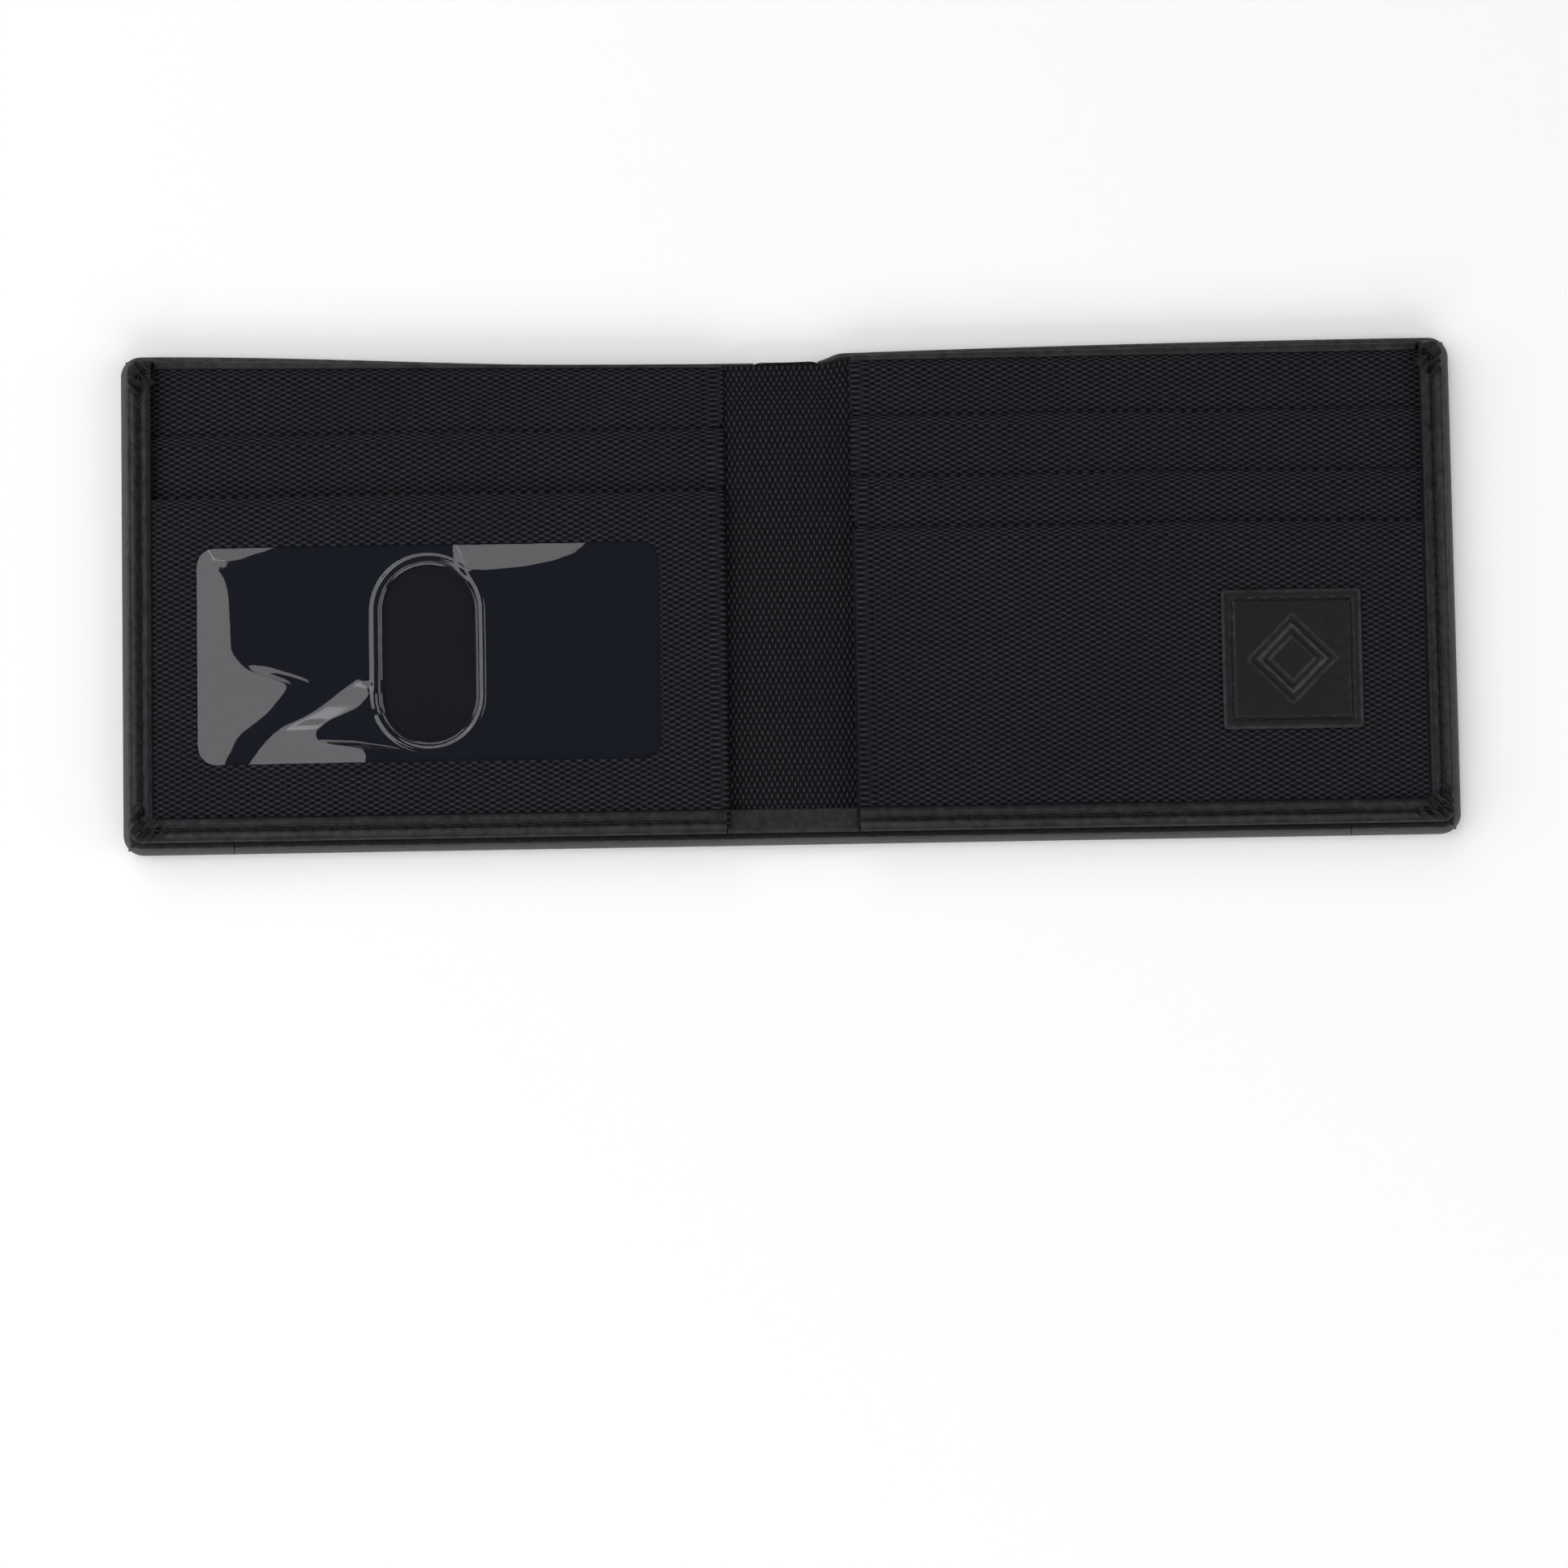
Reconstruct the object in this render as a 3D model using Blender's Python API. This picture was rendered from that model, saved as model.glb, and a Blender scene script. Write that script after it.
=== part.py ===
"""Bifold wallet in woven cloth and leather, lying open with its inside up.

X runs along the open wallet, Y towards the mouth of the banknote compartment, and Z up out of
the pockets. The origin is the middle of the underside. The left panel lies still, the spine
folds on the left crease, and the right panel folds on the right crease.

Every layer is a flat sheet with a small gap to the next one. Leather bands and bindings fold
round the sheets' edges. Sizes are in millimetres, and MM turns them into metres.
"""

import math

import bmesh
import bpy
from mathutils import Vector

MM = 0.001

# Driving dimensions -------------------------------------------------------------------------

LENGTH = 224.0  # the open wallet along X
HEIGHT = 84.0  # along Y, from the bottom fold to the mouth's edge
CORNER = 3.4  # radius of the four outer corners

# Thickness of each material, and the gaps of the stack
LEATHER = 0.6
PATCH_LEATHER = 0.5
CLOTH = 0.5  # woven cloth of the outside
BOARD = 0.5  # stiffener
LINING = 0.3  # banknote compartment lining
DIVIDER_CLOTH = 0.4  # sheet between banknotes and cards
POCKET_CLOTH = 0.35
BACKING_CLOTH = 0.2  # smooth cloth behind the window
FILM = 0.2
LAY = 0.2  # between sheets that lie on each other
BILL_ROOM = 1.6  # banknote compartment, from lining to divider
CLOSED_GAP = 1.5  # between the two insides when the wallet is shut

# Leather of the outer leaf
BAND = 18.5  # wide band along each end
STRIP = 4.5  # strip along the top and the bottom
TURNED_IN = 7.0  # what is folded over to the inner side

# Inner leaf, which is smaller than the outer one all round
RIM = 2.0  # outer leaf seen beyond the inner one at the ends and the bottom
TOP_RIM = 1.3
BINDING = 4.0  # leather binding round the inner leaf
TRIM = 1.3  # narrow leather trim on its top edge
INNER_CORNER = 2.0
PANEL_BACK = 1.45  # from a folded panel's reach to where the real panels start

# Card pockets, down from the top edge of the panel
LEFT_DROPS = (12.1, 10.5)
RIGHT_DROPS = (10.4, 10.3, 8.7)

# Window of the identity card pocket, from what surrounds it
WINDOW_TO_BINDING = 7.2
WINDOW_TO_SPINE = 10.6
WINDOW_TO_BOTTOM = 8.7
WINDOW_TO_MOUTH = 8.3
WINDOW_CORNER = 3.2
THUMB_WIDTH = 15.4  # hole that a thumb pushes the card through
THUMB_MARGIN = 1.3  # from the bead round the hole to the window's edge
BEAD = 2.1  # width of that bead
BEAD_RISE = 0.3

# Leather patch on the lowest right pocket
PATCH = 23.4
PATCH_CORNER = 0.8
PATCH_TO_BINDING = 10.9
PATCH_RISE = 0.2  # above the middle of the visible pocket

HINGE_GAP = 0.25  # from a crease to the sheets on each side of it
CORNER_STEPS = 6
END_STEPS = 14  # of each round end of the thumb hole
CUT_PAST = 2.0  # how far a cutter runs past what it cuts

# Worked out from them -------------------------------------------------------------------------


def above(level, thickness, gap=LAY):
    """The bottom and top of a sheet that lies on another one."""
    bottom = level[1] + gap
    return bottom, bottom + thickness


OUTSIDE = (0.0, LEATHER)
OUTER_CLOTH = above(OUTSIDE, CLOTH)
STIFFENER = above(OUTER_CLOTH, BOARD)
BILL_LINING = above(STIFFENER, LINING)
TURN_IN = above(BILL_LINING, LEATHER)
DIVIDER = above(BILL_LINING, DIVIDER_CLOTH, BILL_ROOM)
POCKET_BACK = above(DIVIDER, POCKET_CLOTH)
FIRST_POCKET = above(POCKET_BACK, POCKET_CLOTH)
ID_BACKING = above(FIRST_POCKET, BACKING_CLOTH)
ID_FILM = above(ID_BACKING, FILM)
TOP_POCKET = above(ID_FILM, POCKET_CLOTH)
INNER_BINDING = above(TOP_POCKET, LEATHER)
TOP_TRIM = above(POCKET_BACK, LEATHER)
SPINE_BINDING = above(DIVIDER, LEATHER)
WALL_FOOT = TURN_IN[1] + LAY  # where the inner leaf's leather meets the outer leaf

HALF = LENGTH / 2
TOP = HEIGHT / 2
BOTTOM = -HEIGHT / 2

CREASE_Z = TURN_IN[1]
CREASE_X = INNER_BINDING[1] - CREASE_Z + CLOSED_GAP / 2  # half the spine's width
PANEL_START = CREASE_X + INNER_BINDING[1] - CREASE_Z + PANEL_BACK

INNER_HALF = HALF - RIM
INNER_BOTTOM = BOTTOM + RIM
INNER_TOP = TOP - TOP_RIM
SHEET_END = INNER_HALF - LEATHER - LAY  # ends of the sheets inside the binding
SHEET_BOTTOM = INNER_BOTTOM + LEATHER + LAY
SHEET_TOP = INNER_TOP - LEATHER - LAY
BINDING_EDGE = INNER_HALF - BINDING
BOTTOM_BINDING_EDGE = INNER_BOTTOM + BINDING

collection = None
cutters = None


def clear_of_crease(level):
    """How far from a crease a sheet ends, so that it doesn't meet its neighbour when folded."""
    return max(level[1] - CREASE_Z, 0) + HINGE_GAP


# Shapes -----------------------------------------------------------------------------------------


def rounded(x_from, x_to, y_from, y_to, near=0.0, far=0.0, steps=CORNER_STEPS):
    """A rectangle's outline. near rounds the two corners at x_from, far those at x_to."""
    corners = (
        (x_from, y_from, near, 180),
        (x_to, y_from, far, 270),
        (x_to, y_to, far, 0),
        (x_from, y_to, near, 90),
    )
    outline = []
    for x, y, radius, start in corners:
        if radius == 0:
            outline.append((x, y))
            continue
        centre_x = x + math.copysign(radius, (x_from + x_to) / 2 - x)
        centre_y = y + math.copysign(radius, (y_from + y_to) / 2 - y)
        for step in range(steps + 1):
            turn = math.radians(start + 90 * step / steps)
            outline.append((centre_x + radius * math.cos(turn), centre_y + radius * math.sin(turn)))
    return outline


def stadium(centre, width, length):
    """An upright slot with round ends."""
    radius = width / 2
    x, y = centre
    outline = []
    for side, start in ((1, 0), (-1, 180)):
        for step in range(END_STEPS + 1):
            turn = math.radians(start + 180 * step / END_STEPS)
            outline.append(
                (
                    x + radius * math.cos(turn),
                    y + side * (length / 2 - radius) + radius * math.sin(turn),
                )
            )
    return outline


def mirrored(side, outline):
    """The outline as drawn for the right panel, or its mirror image for the left one."""
    return outline if side > 0 else [(-x, y) for x, y in reversed(outline)]


def flat_curve(name, outlines, thickness):
    """A filled flat curve with its outlines in XY, as thick as said about its own plane."""
    curve = bpy.data.curves.new(name, "CURVE")
    curve.dimensions = "2D"
    curve.fill_mode = "BOTH"
    curve.extrude = thickness / 2 * MM
    for outline in outlines:
        spline = curve.splines.new("POLY")
        spline.points.add(len(outline) - 1)
        spline.use_cyclic_u = True
        for point, (x, y) in zip(spline.points, outline):
            point.co = (x * MM, y * MM, 0, 1)
    piece = bpy.data.objects.new(name, curve)
    collection.objects.link(piece)
    return piece


def sheet(name, level, *outlines):
    """A flat layer between two heights. Outlines after the first one are holes."""
    piece = flat_curve(name, outlines, level[1] - level[0])
    piece.location.z = sum(level) / 2 * MM
    return piece


def moulding(name, section, x_from, x_to):
    """A closed section, drawn in YZ, that runs along X."""
    piece = flat_curve(name, [section], abs(x_to - x_from))
    piece.rotation_euler = (math.pi / 2, 0, math.pi / 2)
    piece.location.x = (x_from + x_to) / 2 * MM
    return piece


def as_mesh(piece):
    """The same piece as a welded mesh, which a Boolean can work on."""
    bpy.context.view_layer.update()
    evaluated = piece.evaluated_get(bpy.context.evaluated_depsgraph_get())
    mesh = bpy.data.meshes.new_from_object(evaluated)
    work = bmesh.new()
    work.from_mesh(mesh)
    bmesh.ops.remove_doubles(work, verts=work.verts, dist=1e-6)
    work.to_mesh(mesh)
    work.free()
    name = piece.name
    solid = bpy.data.objects.new(name + "_mesh", mesh)
    solid.matrix_world = piece.matrix_world.copy()
    bpy.data.objects.remove(piece)
    solid.name = name
    collection.objects.link(solid)
    return solid


def combine(piece, tool, operation):
    """Cuts a mesh piece with another one, or joins that one to it."""
    collection.objects.unlink(tool)
    cutters.objects.link(tool)
    tool.hide_render = True
    tool.display_type = "WIRE"
    change = piece.modifiers.new(tool.name, "BOOLEAN")
    change.operation = operation
    change.solver = "EXACT"
    change.object = tool


def cupped_band(name, side, inner_x, outer_x, bottom, top, radius, block, hollow, lips):
    """Leather folded round the end of a panel: a block, less the room for the panel's sheets.

    block and hollow are heights. lips says how far the leather reaches in over the sheets,
    above the hollow, or None where the hollow is open on its underside.
    """
    past = inner_x - CUT_PAST
    body = rounded(inner_x, outer_x, bottom, top, far=radius)
    piece = as_mesh(sheet(name, block, mirrored(side, body)))
    room = rounded(
        past, outer_x - LEATHER, bottom + LEATHER, top - LEATHER, far=radius - LEATHER
    )
    combine(piece, as_mesh(sheet(name + "_room", hollow, mirrored(side, room))), "DIFFERENCE")
    if lips is not None:
        window = rounded(past, outer_x - lips, bottom + lips, top - lips)
        over = (hollow[1] - LAY / 2, block[1] + CUT_PAST)
        opening = as_mesh(sheet(name + "_opening", over, mirrored(side, window)))
        combine(piece, opening, "DIFFERENCE")
    return piece


# Finishes -----------------------------------------------------------------------------------------


def finish(piece, colour, roughness, alpha=1.0):
    material = bpy.data.materials.new(piece.name)
    material.use_nodes = True
    shader = material.node_tree.nodes["Principled BSDF"]
    shader.inputs["Base Color"].default_value = (*colour, 1)
    shader.inputs["Roughness"].default_value = roughness
    shader.inputs["Metallic"].default_value = 0
    shader.inputs["Alpha"].default_value = alpha
    piece.data.materials.append(material)


def leather(piece):
    finish(piece, (0.026, 0.025, 0.028), 0.5)


def woven(piece):
    finish(piece, (0.014, 0.014, 0.018), 0.8)


def lining(piece):
    finish(piece, (0.009, 0.009, 0.012), 0.75)


def smooth_cloth(piece):
    finish(piece, (0.009, 0.009, 0.015), 0.6)


def board(piece):
    finish(piece, (0.05, 0.047, 0.043), 0.9)


def film(piece):
    finish(piece, (0.8, 0.82, 0.85), 0.12, alpha=0.3)


def attach(piece, pivot):
    """Hangs a piece, and what cuts it, on a crease, without moving it."""
    if pivot is None:
        return
    for each in [piece] + [change.object for change in piece.modifiers]:
        each.parent = pivot
        each.location -= pivot_place(pivot)


def pivot_place(pivot):
    place = Vector(pivot.location)
    while pivot.parent:
        pivot = pivot.parent
        place += pivot.location
    return place


def crease(name, x, parent=None):
    """An empty on a fold line, which runs along Y."""
    pivot = bpy.data.objects.new(name, None)
    collection.objects.link(pivot)
    pivot.location = Vector((x, 0, CREASE_Z)) * MM
    if parent:
        pivot.parent = parent
        pivot.location -= parent.location
    return pivot


# Outer leaf ---------------------------------------------------------------------------------------


def strip_section(edge):
    """Leather folded round the outer leaf's top or bottom edge, in YZ."""
    inward = -math.copysign(1, edge)
    return [
        (edge, OUTSIDE[0]),
        (edge + inward * STRIP, OUTSIDE[0]),
        (edge + inward * STRIP, OUTSIDE[1]),
        (edge + inward * LEATHER, OUTSIDE[1]),
        (edge + inward * LEATHER, TURN_IN[0]),
        (edge + inward * TURNED_IN, TURN_IN[0]),
        (edge + inward * TURNED_IN, TURN_IN[1]),
        (edge, TURN_IN[1]),
    ]


def outer_sheet(name, side, level):
    """A sheet of the outer leaf, held in the leather's folds on three sides."""
    inset = LEATHER + LAY
    outline = rounded(
        CREASE_X + clear_of_crease(level),
        HALF - inset,
        BOTTOM + inset,
        TOP - inset,
        far=CORNER - LEATHER,
    )
    return sheet(name, level, mirrored(side, outline))


def outer_leaf(side, word, pivot):
    cloth = outer_sheet("outer_cloth_" + word, side, OUTER_CLOTH)
    woven(cloth)
    stiffener = outer_sheet("stiffener_" + word, side, STIFFENER)
    board(stiffener)
    bill_lining = outer_sheet("bill_lining_" + word, side, BILL_LINING)
    lining(bill_lining)
    band = cupped_band(
        "leather_band_" + word,
        side,
        HALF - BAND,
        HALF,
        BOTTOM,
        TOP,
        CORNER,
        (OUTSIDE[0], TURN_IN[1]),
        (OUTSIDE[1], TURN_IN[0]),
        TURNED_IN,
    )
    leather(band)
    band_side = side * (HALF - BAND - LAY)
    crease_side = side * (CREASE_X + clear_of_crease(TURN_IN))
    top = moulding("top_binding_" + word, strip_section(TOP), band_side, crease_side)
    leather(top)
    bottom = moulding("bottom_binding_" + word, strip_section(BOTTOM), band_side, crease_side)
    leather(bottom)
    for piece in (cloth, stiffener, bill_lining, band, top, bottom):
        attach(piece, pivot)


def spine(pivot):
    """What lies between the two creases: cloth, lining and the bottom leather, and no board."""
    inset = LEATHER + LAY
    for name, level, material in (
        ("outer_cloth_spine", OUTER_CLOTH, woven),
        ("bill_lining_spine", BILL_LINING, lining),
    ):
        reach = CREASE_X - clear_of_crease(level)
        piece = sheet(name, level, rounded(-reach, reach, BOTTOM + inset, TOP - inset))
        material(piece)
        attach(piece, pivot)
    reach = CREASE_X - clear_of_crease(TURN_IN)
    piece = moulding("bottom_binding_spine", strip_section(BOTTOM), -reach, reach)
    leather(piece)
    attach(piece, pivot)
    reach = CREASE_X - clear_of_crease(DIVIDER)
    piece = sheet("divider_spine", DIVIDER, rounded(-reach, reach, SHEET_BOTTOM, SHEET_TOP))
    woven(piece)
    attach(piece, pivot)
    reach = CREASE_X - clear_of_crease(SPINE_BINDING)
    piece = moulding("gusset_binding_spine", edge_section(SPINE_BINDING), -reach, reach)
    leather(piece)
    attach(piece, pivot)


# Inner leaf ---------------------------------------------------------------------------------------


def edge_section(level):
    """Binding over the inner leaf's bottom edge, down to the outer leaf, in YZ."""
    return [
        (INNER_BOTTOM, WALL_FOOT),
        (INNER_BOTTOM + LEATHER, WALL_FOOT),
        (INNER_BOTTOM + LEATHER, level[0]),
        (BOTTOM_BINDING_EDGE, level[0]),
        (BOTTOM_BINDING_EDGE, level[1]),
        (INNER_BOTTOM, level[1]),
    ]


def trim_section():
    """Trim over the inner leaf's top edge, which leaves the banknote mouth open, in YZ."""
    return [
        (INNER_TOP, DIVIDER[0]),
        (INNER_TOP, TOP_TRIM[1]),
        (INNER_TOP - TRIM, TOP_TRIM[1]),
        (INNER_TOP - TRIM, TOP_TRIM[0]),
        (INNER_TOP - LEATHER, TOP_TRIM[0]),
        (INNER_TOP - LEATHER, DIVIDER[0]),
    ]


def pocket(name, side, level, top, start=PANEL_START, holes=()):
    """A sheet of the inner leaf, from the binding at the end to the spine's edge."""
    outline = rounded(start, SHEET_END, SHEET_BOTTOM, top, far=INNER_CORNER - LEATHER)
    return sheet(name, level, mirrored(side, outline), *holes)


def inner_leaf(side, word, pivot):
    divider_start = CREASE_X + clear_of_crease(DIVIDER)
    divider = pocket("divider_" + word, side, DIVIDER, SHEET_TOP, start=divider_start)
    woven(divider)
    back = pocket(word + "_pocket_back", side, POCKET_BACK, SHEET_TOP)
    woven(back)
    end_binding = cupped_band(
        "edge_binding_" + word,
        side,
        BINDING_EDGE,
        INNER_HALF,
        INNER_BOTTOM,
        INNER_TOP,
        INNER_CORNER,
        (WALL_FOOT, INNER_BINDING[1]),
        (WALL_FOOT - CUT_PAST, INNER_BINDING[0]),
        None,
    )
    leather(end_binding)
    beside_end = side * (BINDING_EDGE - LAY)
    panel_side = side * PANEL_START
    low = moulding(
        "edge_binding_bottom_" + word, edge_section(INNER_BINDING), beside_end, panel_side
    )
    leather(low)
    trim = moulding("edge_trim_top_" + word, trim_section(), beside_end, panel_side)
    leather(trim)
    gusset = moulding(
        "gusset_binding_" + word,
        edge_section(SPINE_BINDING),
        side * (PANEL_START - LAY),
        side * (CREASE_X + clear_of_crease(SPINE_BINDING)),
    )
    leather(gusset)
    for piece in (divider, back, end_binding, low, trim, gusset):
        attach(piece, pivot)


def left_pockets():
    """A card pocket, and in front of it the identity card pocket with its clear window."""
    slot = SHEET_TOP - LEFT_DROPS[0]
    mouth = slot - LEFT_DROPS[1]
    woven(pocket("left_card_pocket", -1, FIRST_POCKET, slot))
    smooth_cloth(pocket("id_pocket_backing", -1, ID_BACKING, mouth))

    left = -BINDING_EDGE + WINDOW_TO_BINDING
    right = -PANEL_START - WINDOW_TO_SPINE
    low = BOTTOM_BINDING_EDGE + WINDOW_TO_BOTTOM
    high = mouth - WINDOW_TO_MOUTH
    opening = rounded(left, right, low, high, WINDOW_CORNER, WINDOW_CORNER)
    woven(pocket("id_window_frame", -1, TOP_POCKET, mouth, holes=[opening]))

    centre = ((left + right) / 2, (low + high) / 2)
    length = high - low - 2 * THUMB_MARGIN
    hole = stadium(centre, THUMB_WIDTH, length - 2 * BEAD)
    clear = as_mesh(pocket("id_window_film", -1, ID_FILM, mouth, holes=[hole]))
    bead_level = (ID_FILM[0] + FILM / 4, ID_FILM[1] + BEAD_RISE)
    around = stadium(centre, THUMB_WIDTH + 2 * BEAD, length)
    inside = stadium(centre, THUMB_WIDTH - BEAD_RISE / 2, length - 2 * BEAD - BEAD_RISE / 2)
    bead = as_mesh(sheet("thumb_hole_bead", bead_level, around, inside))
    combine(clear, bead, "UNION")
    film(clear)


def right_pockets(pivot):
    """Three card pockets, each in front of and lower than the one before, and the patch."""
    top = SHEET_TOP
    rise = (TOP_POCKET[0] - FIRST_POCKET[0]) / (len(RIGHT_DROPS) - 1)
    for index, (word, drop) in enumerate(zip(("upper", "middle", "lower"), RIGHT_DROPS)):
        top -= drop
        bottom = FIRST_POCKET[0] + index * rise
        piece = pocket("right_card_pocket_" + word, 1, (bottom, bottom + POCKET_CLOTH), top)
        woven(piece)
        attach(piece, pivot)
    right = BINDING_EDGE - PATCH_TO_BINDING
    middle = (BOTTOM_BINDING_EDGE + top) / 2 + PATCH_RISE
    square = rounded(
        right - PATCH, right, middle - PATCH / 2, middle + PATCH / 2, PATCH_CORNER, PATCH_CORNER
    )
    patch = sheet("leather_patch", above(TOP_POCKET, PATCH_LEATHER), square)
    leather(patch)
    attach(patch, pivot)


# The wallet ---------------------------------------------------------------------------------------

for old in list(bpy.data.objects):
    bpy.data.objects.remove(old)
collection = bpy.data.collections.new("bifold_wallet")
cutters = bpy.data.collections.new("cutters")
bpy.context.scene.collection.children.link(collection)
bpy.context.scene.collection.children.link(cutters)

left_crease = crease("left_crease", -CREASE_X)
right_crease = crease("right_crease", CREASE_X, left_crease)

outer_leaf(-1, "left", None)
inner_leaf(-1, "left", None)
left_pockets()
spine(left_crease)
outer_leaf(1, "right", right_crease)
inner_leaf(1, "right", right_crease)
right_pockets(right_crease)
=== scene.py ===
"""The looks of a bifold wallet in woven cloth and black leather, open with its inside up.

Lengths are in millimetres until a mesh is made. X runs along the open wallet, Y towards the mouth
of the banknote compartment, and Z up out of the card pockets.
"""

import math

import bmesh
import bpy
from mathutils import Matrix, Vector, noise


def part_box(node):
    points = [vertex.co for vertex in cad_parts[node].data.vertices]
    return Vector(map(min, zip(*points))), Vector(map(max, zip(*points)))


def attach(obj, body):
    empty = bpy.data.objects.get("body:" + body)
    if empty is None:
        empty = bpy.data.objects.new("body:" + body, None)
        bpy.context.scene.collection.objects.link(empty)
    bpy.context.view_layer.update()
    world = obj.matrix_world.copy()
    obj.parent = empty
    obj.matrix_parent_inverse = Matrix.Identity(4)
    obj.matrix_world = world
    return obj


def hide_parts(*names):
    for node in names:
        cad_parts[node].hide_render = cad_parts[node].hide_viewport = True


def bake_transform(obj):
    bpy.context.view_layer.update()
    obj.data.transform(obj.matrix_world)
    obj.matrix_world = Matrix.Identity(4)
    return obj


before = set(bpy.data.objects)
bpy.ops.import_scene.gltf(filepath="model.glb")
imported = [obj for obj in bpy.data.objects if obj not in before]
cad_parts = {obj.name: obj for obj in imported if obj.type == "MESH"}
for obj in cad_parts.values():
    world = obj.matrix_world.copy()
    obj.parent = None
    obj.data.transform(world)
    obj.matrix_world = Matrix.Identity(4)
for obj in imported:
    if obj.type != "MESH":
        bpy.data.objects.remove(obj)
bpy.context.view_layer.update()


# Camera -------------------------------------------------------------------------------------------
# It looks down on the open wallet from almost straight above, a little from its lower edge,
# and is aimed short of the wallet's middle.

MM = 0.001  # a millimetre, in metres
AIM = Vector((-1.5, -31.9, 5.0))
DISTANCE = 472.0
TILT = math.radians(2.8)
PAN = math.radians(-0.5)
ROLL = math.radians(-0.98)

view = Vector((math.sin(PAN) * math.cos(TILT), -math.sin(TILT), math.cos(TILT) * math.cos(PAN)))
view.normalize()
level = Vector((0, 1, 0)).cross(view).normalized()
upright = view.cross(level)
right = math.cos(ROLL) * level + math.sin(ROLL) * upright
up = math.cos(ROLL) * upright - math.sin(ROLL) * level
camera = bpy.data.objects.new("camera", bpy.data.cameras.new("camera"))
camera.data.lens = 65
camera.data.sensor_width = 36
camera.data.clip_start = 0.01
camera.matrix_world = Matrix.Translation((AIM + DISTANCE * view) * MM) @ Matrix(
    (right, up, view)
).transposed().to_4x4()
bpy.context.scene.collection.objects.link(camera)
bpy.context.scene.camera = camera
bpy.context.scene.view_settings.view_transform = "Standard"


# Studio -------------------------------------------------------------------------------------------
# Big soft boxes stand off to the sides and leave the air straight above dark, so that black
# cloth and flat film stay black while rounded leather and curved film catch the light. The
# floor is pale paper, and the walls are pale down by it.


class Signal:
    """A value in a shader, which Python's operators work on."""

    def __init__(self, finish, socket):
        self.finish = finish
        self.socket = socket

    def maths(self, operation, *others):
        values = dict(enumerate((self, *others)))
        return self.finish.node("ShaderNodeMath", {"operation": operation}, values)

    def __add__(self, other):
        return self.maths("ADD", other)

    def __sub__(self, other):
        return self.maths("SUBTRACT", other)

    def __mul__(self, other):
        return self.maths("MULTIPLY", other)

    def __rsub__(self, other):
        return (self * -1.0) + other

    __radd__ = __add__
    __rmul__ = __mul__


class Finish:
    """A material, or the world. node() adds any node, and shade() sets or links its shader."""

    def __init__(self, name, kind="materials", shader="Principled BSDF"):
        self.material = getattr(bpy.data, kind).new(name)
        self.material.use_nodes = True
        self.tree = self.material.node_tree
        self.shader = self.tree.nodes[shader]

    def node(self, kind, settings, values, output=0):
        made = self.tree.nodes.new(kind)
        for key, setting in settings.items():
            if key == "stops":
                fill_ramp(made.color_ramp, setting)
            else:
                setattr(made, key, setting)
        for key, value in values.items():
            self.put(made.inputs[key], value)
        return Signal(self, made.outputs[output])

    def put(self, socket, value):
        if isinstance(value, Signal):
            self.tree.links.new(value.socket, socket)
        else:
            socket.default_value = value

    def shade(self, **values):
        for key, value in values.items():
            self.put(self.shader.inputs[key.replace("_", " ")], value)

    def place(self):
        """Where a point of the piece is while the wallet lies open, in metres."""
        return self.node("ShaderNodeAttribute", {"attribute_name": "place"}, {}, "Vector")

    def mix(self, share, first, second):
        """The first colour where share is 0, and the second where it is 1."""
        values = {0: share, 6: first, 7: second}
        return self.node("ShaderNodeMix", {"data_type": "RGBA"}, values, 2)

    def noise(self, place, scale, detail):
        """Clouds that are finer the greater their scale is."""
        values = {"Vector": place, "Scale": scale, "Detail": detail}
        return self.node("ShaderNodeTexNoise", {}, values)

    def bump(self, height, distance, strength=1.0):
        """Distance is in metres, for a height of 1."""
        values = {"Strength": strength, "Distance": distance, "Height": height}
        return self.node("ShaderNodeBump", {}, values)


def fill_ramp(ramp, stops):
    while len(ramp.elements) < len(stops):
        ramp.elements.new(0.5)
    for element, (position, value) in zip(ramp.elements, stops):
        element.position = position
        element.color = (value, value, value, 1)


def soft_box(name, place, size, radiance):
    """A rectangular light, in metres, that faces the wallet."""
    light = bpy.data.lights.new(name, "AREA")
    light.shape = "RECTANGLE"
    light.size, light.size_y = size
    light.energy = radiance * math.pi * size[0] * size[1]
    lamp = bpy.data.objects.new(name, light)
    lamp.location = place
    lamp.rotation_euler = Vector(place).to_track_quat("Z", "Y").to_euler()
    bpy.context.scene.collection.objects.link(lamp)


soft_box("key_left", (-0.88, 0.02, 0.98), (1.2, 1.3), 2.05)
soft_box("top_box", (-0.30, 0.78, 0.84), (0.9, 0.8), 1.9)
soft_box("fill_right", (1.0, -0.1, 0.80), (0.8, 1.2), 1.75)
soft_box("fill_front", (0.1, -1.05, 0.75), (1.6, 0.7), 2.5)

studio = Finish("studio", "worlds", "Background")
towards = studio.node("ShaderNodeTexCoord", {}, {}, "Generated")
rise = studio.node("ShaderNodeSeparateXYZ", {}, {0: towards}, "Z")
walls = {"Value": rise, "From Min": 0.02, "From Max": 0.16, "To Min": 0.85, "To Max": 0.08}
studio.shade(Color=studio.node("ShaderNodeMapRange", {}, walls), Strength=1.0)
bpy.context.scene.world = studio.material

FLOOR_HALF = 14.0  # in metres, like the distances at which the paper begins and ends to glow
GLOW_FROM, GLOW_TO = 1.1, 3.2

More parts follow.
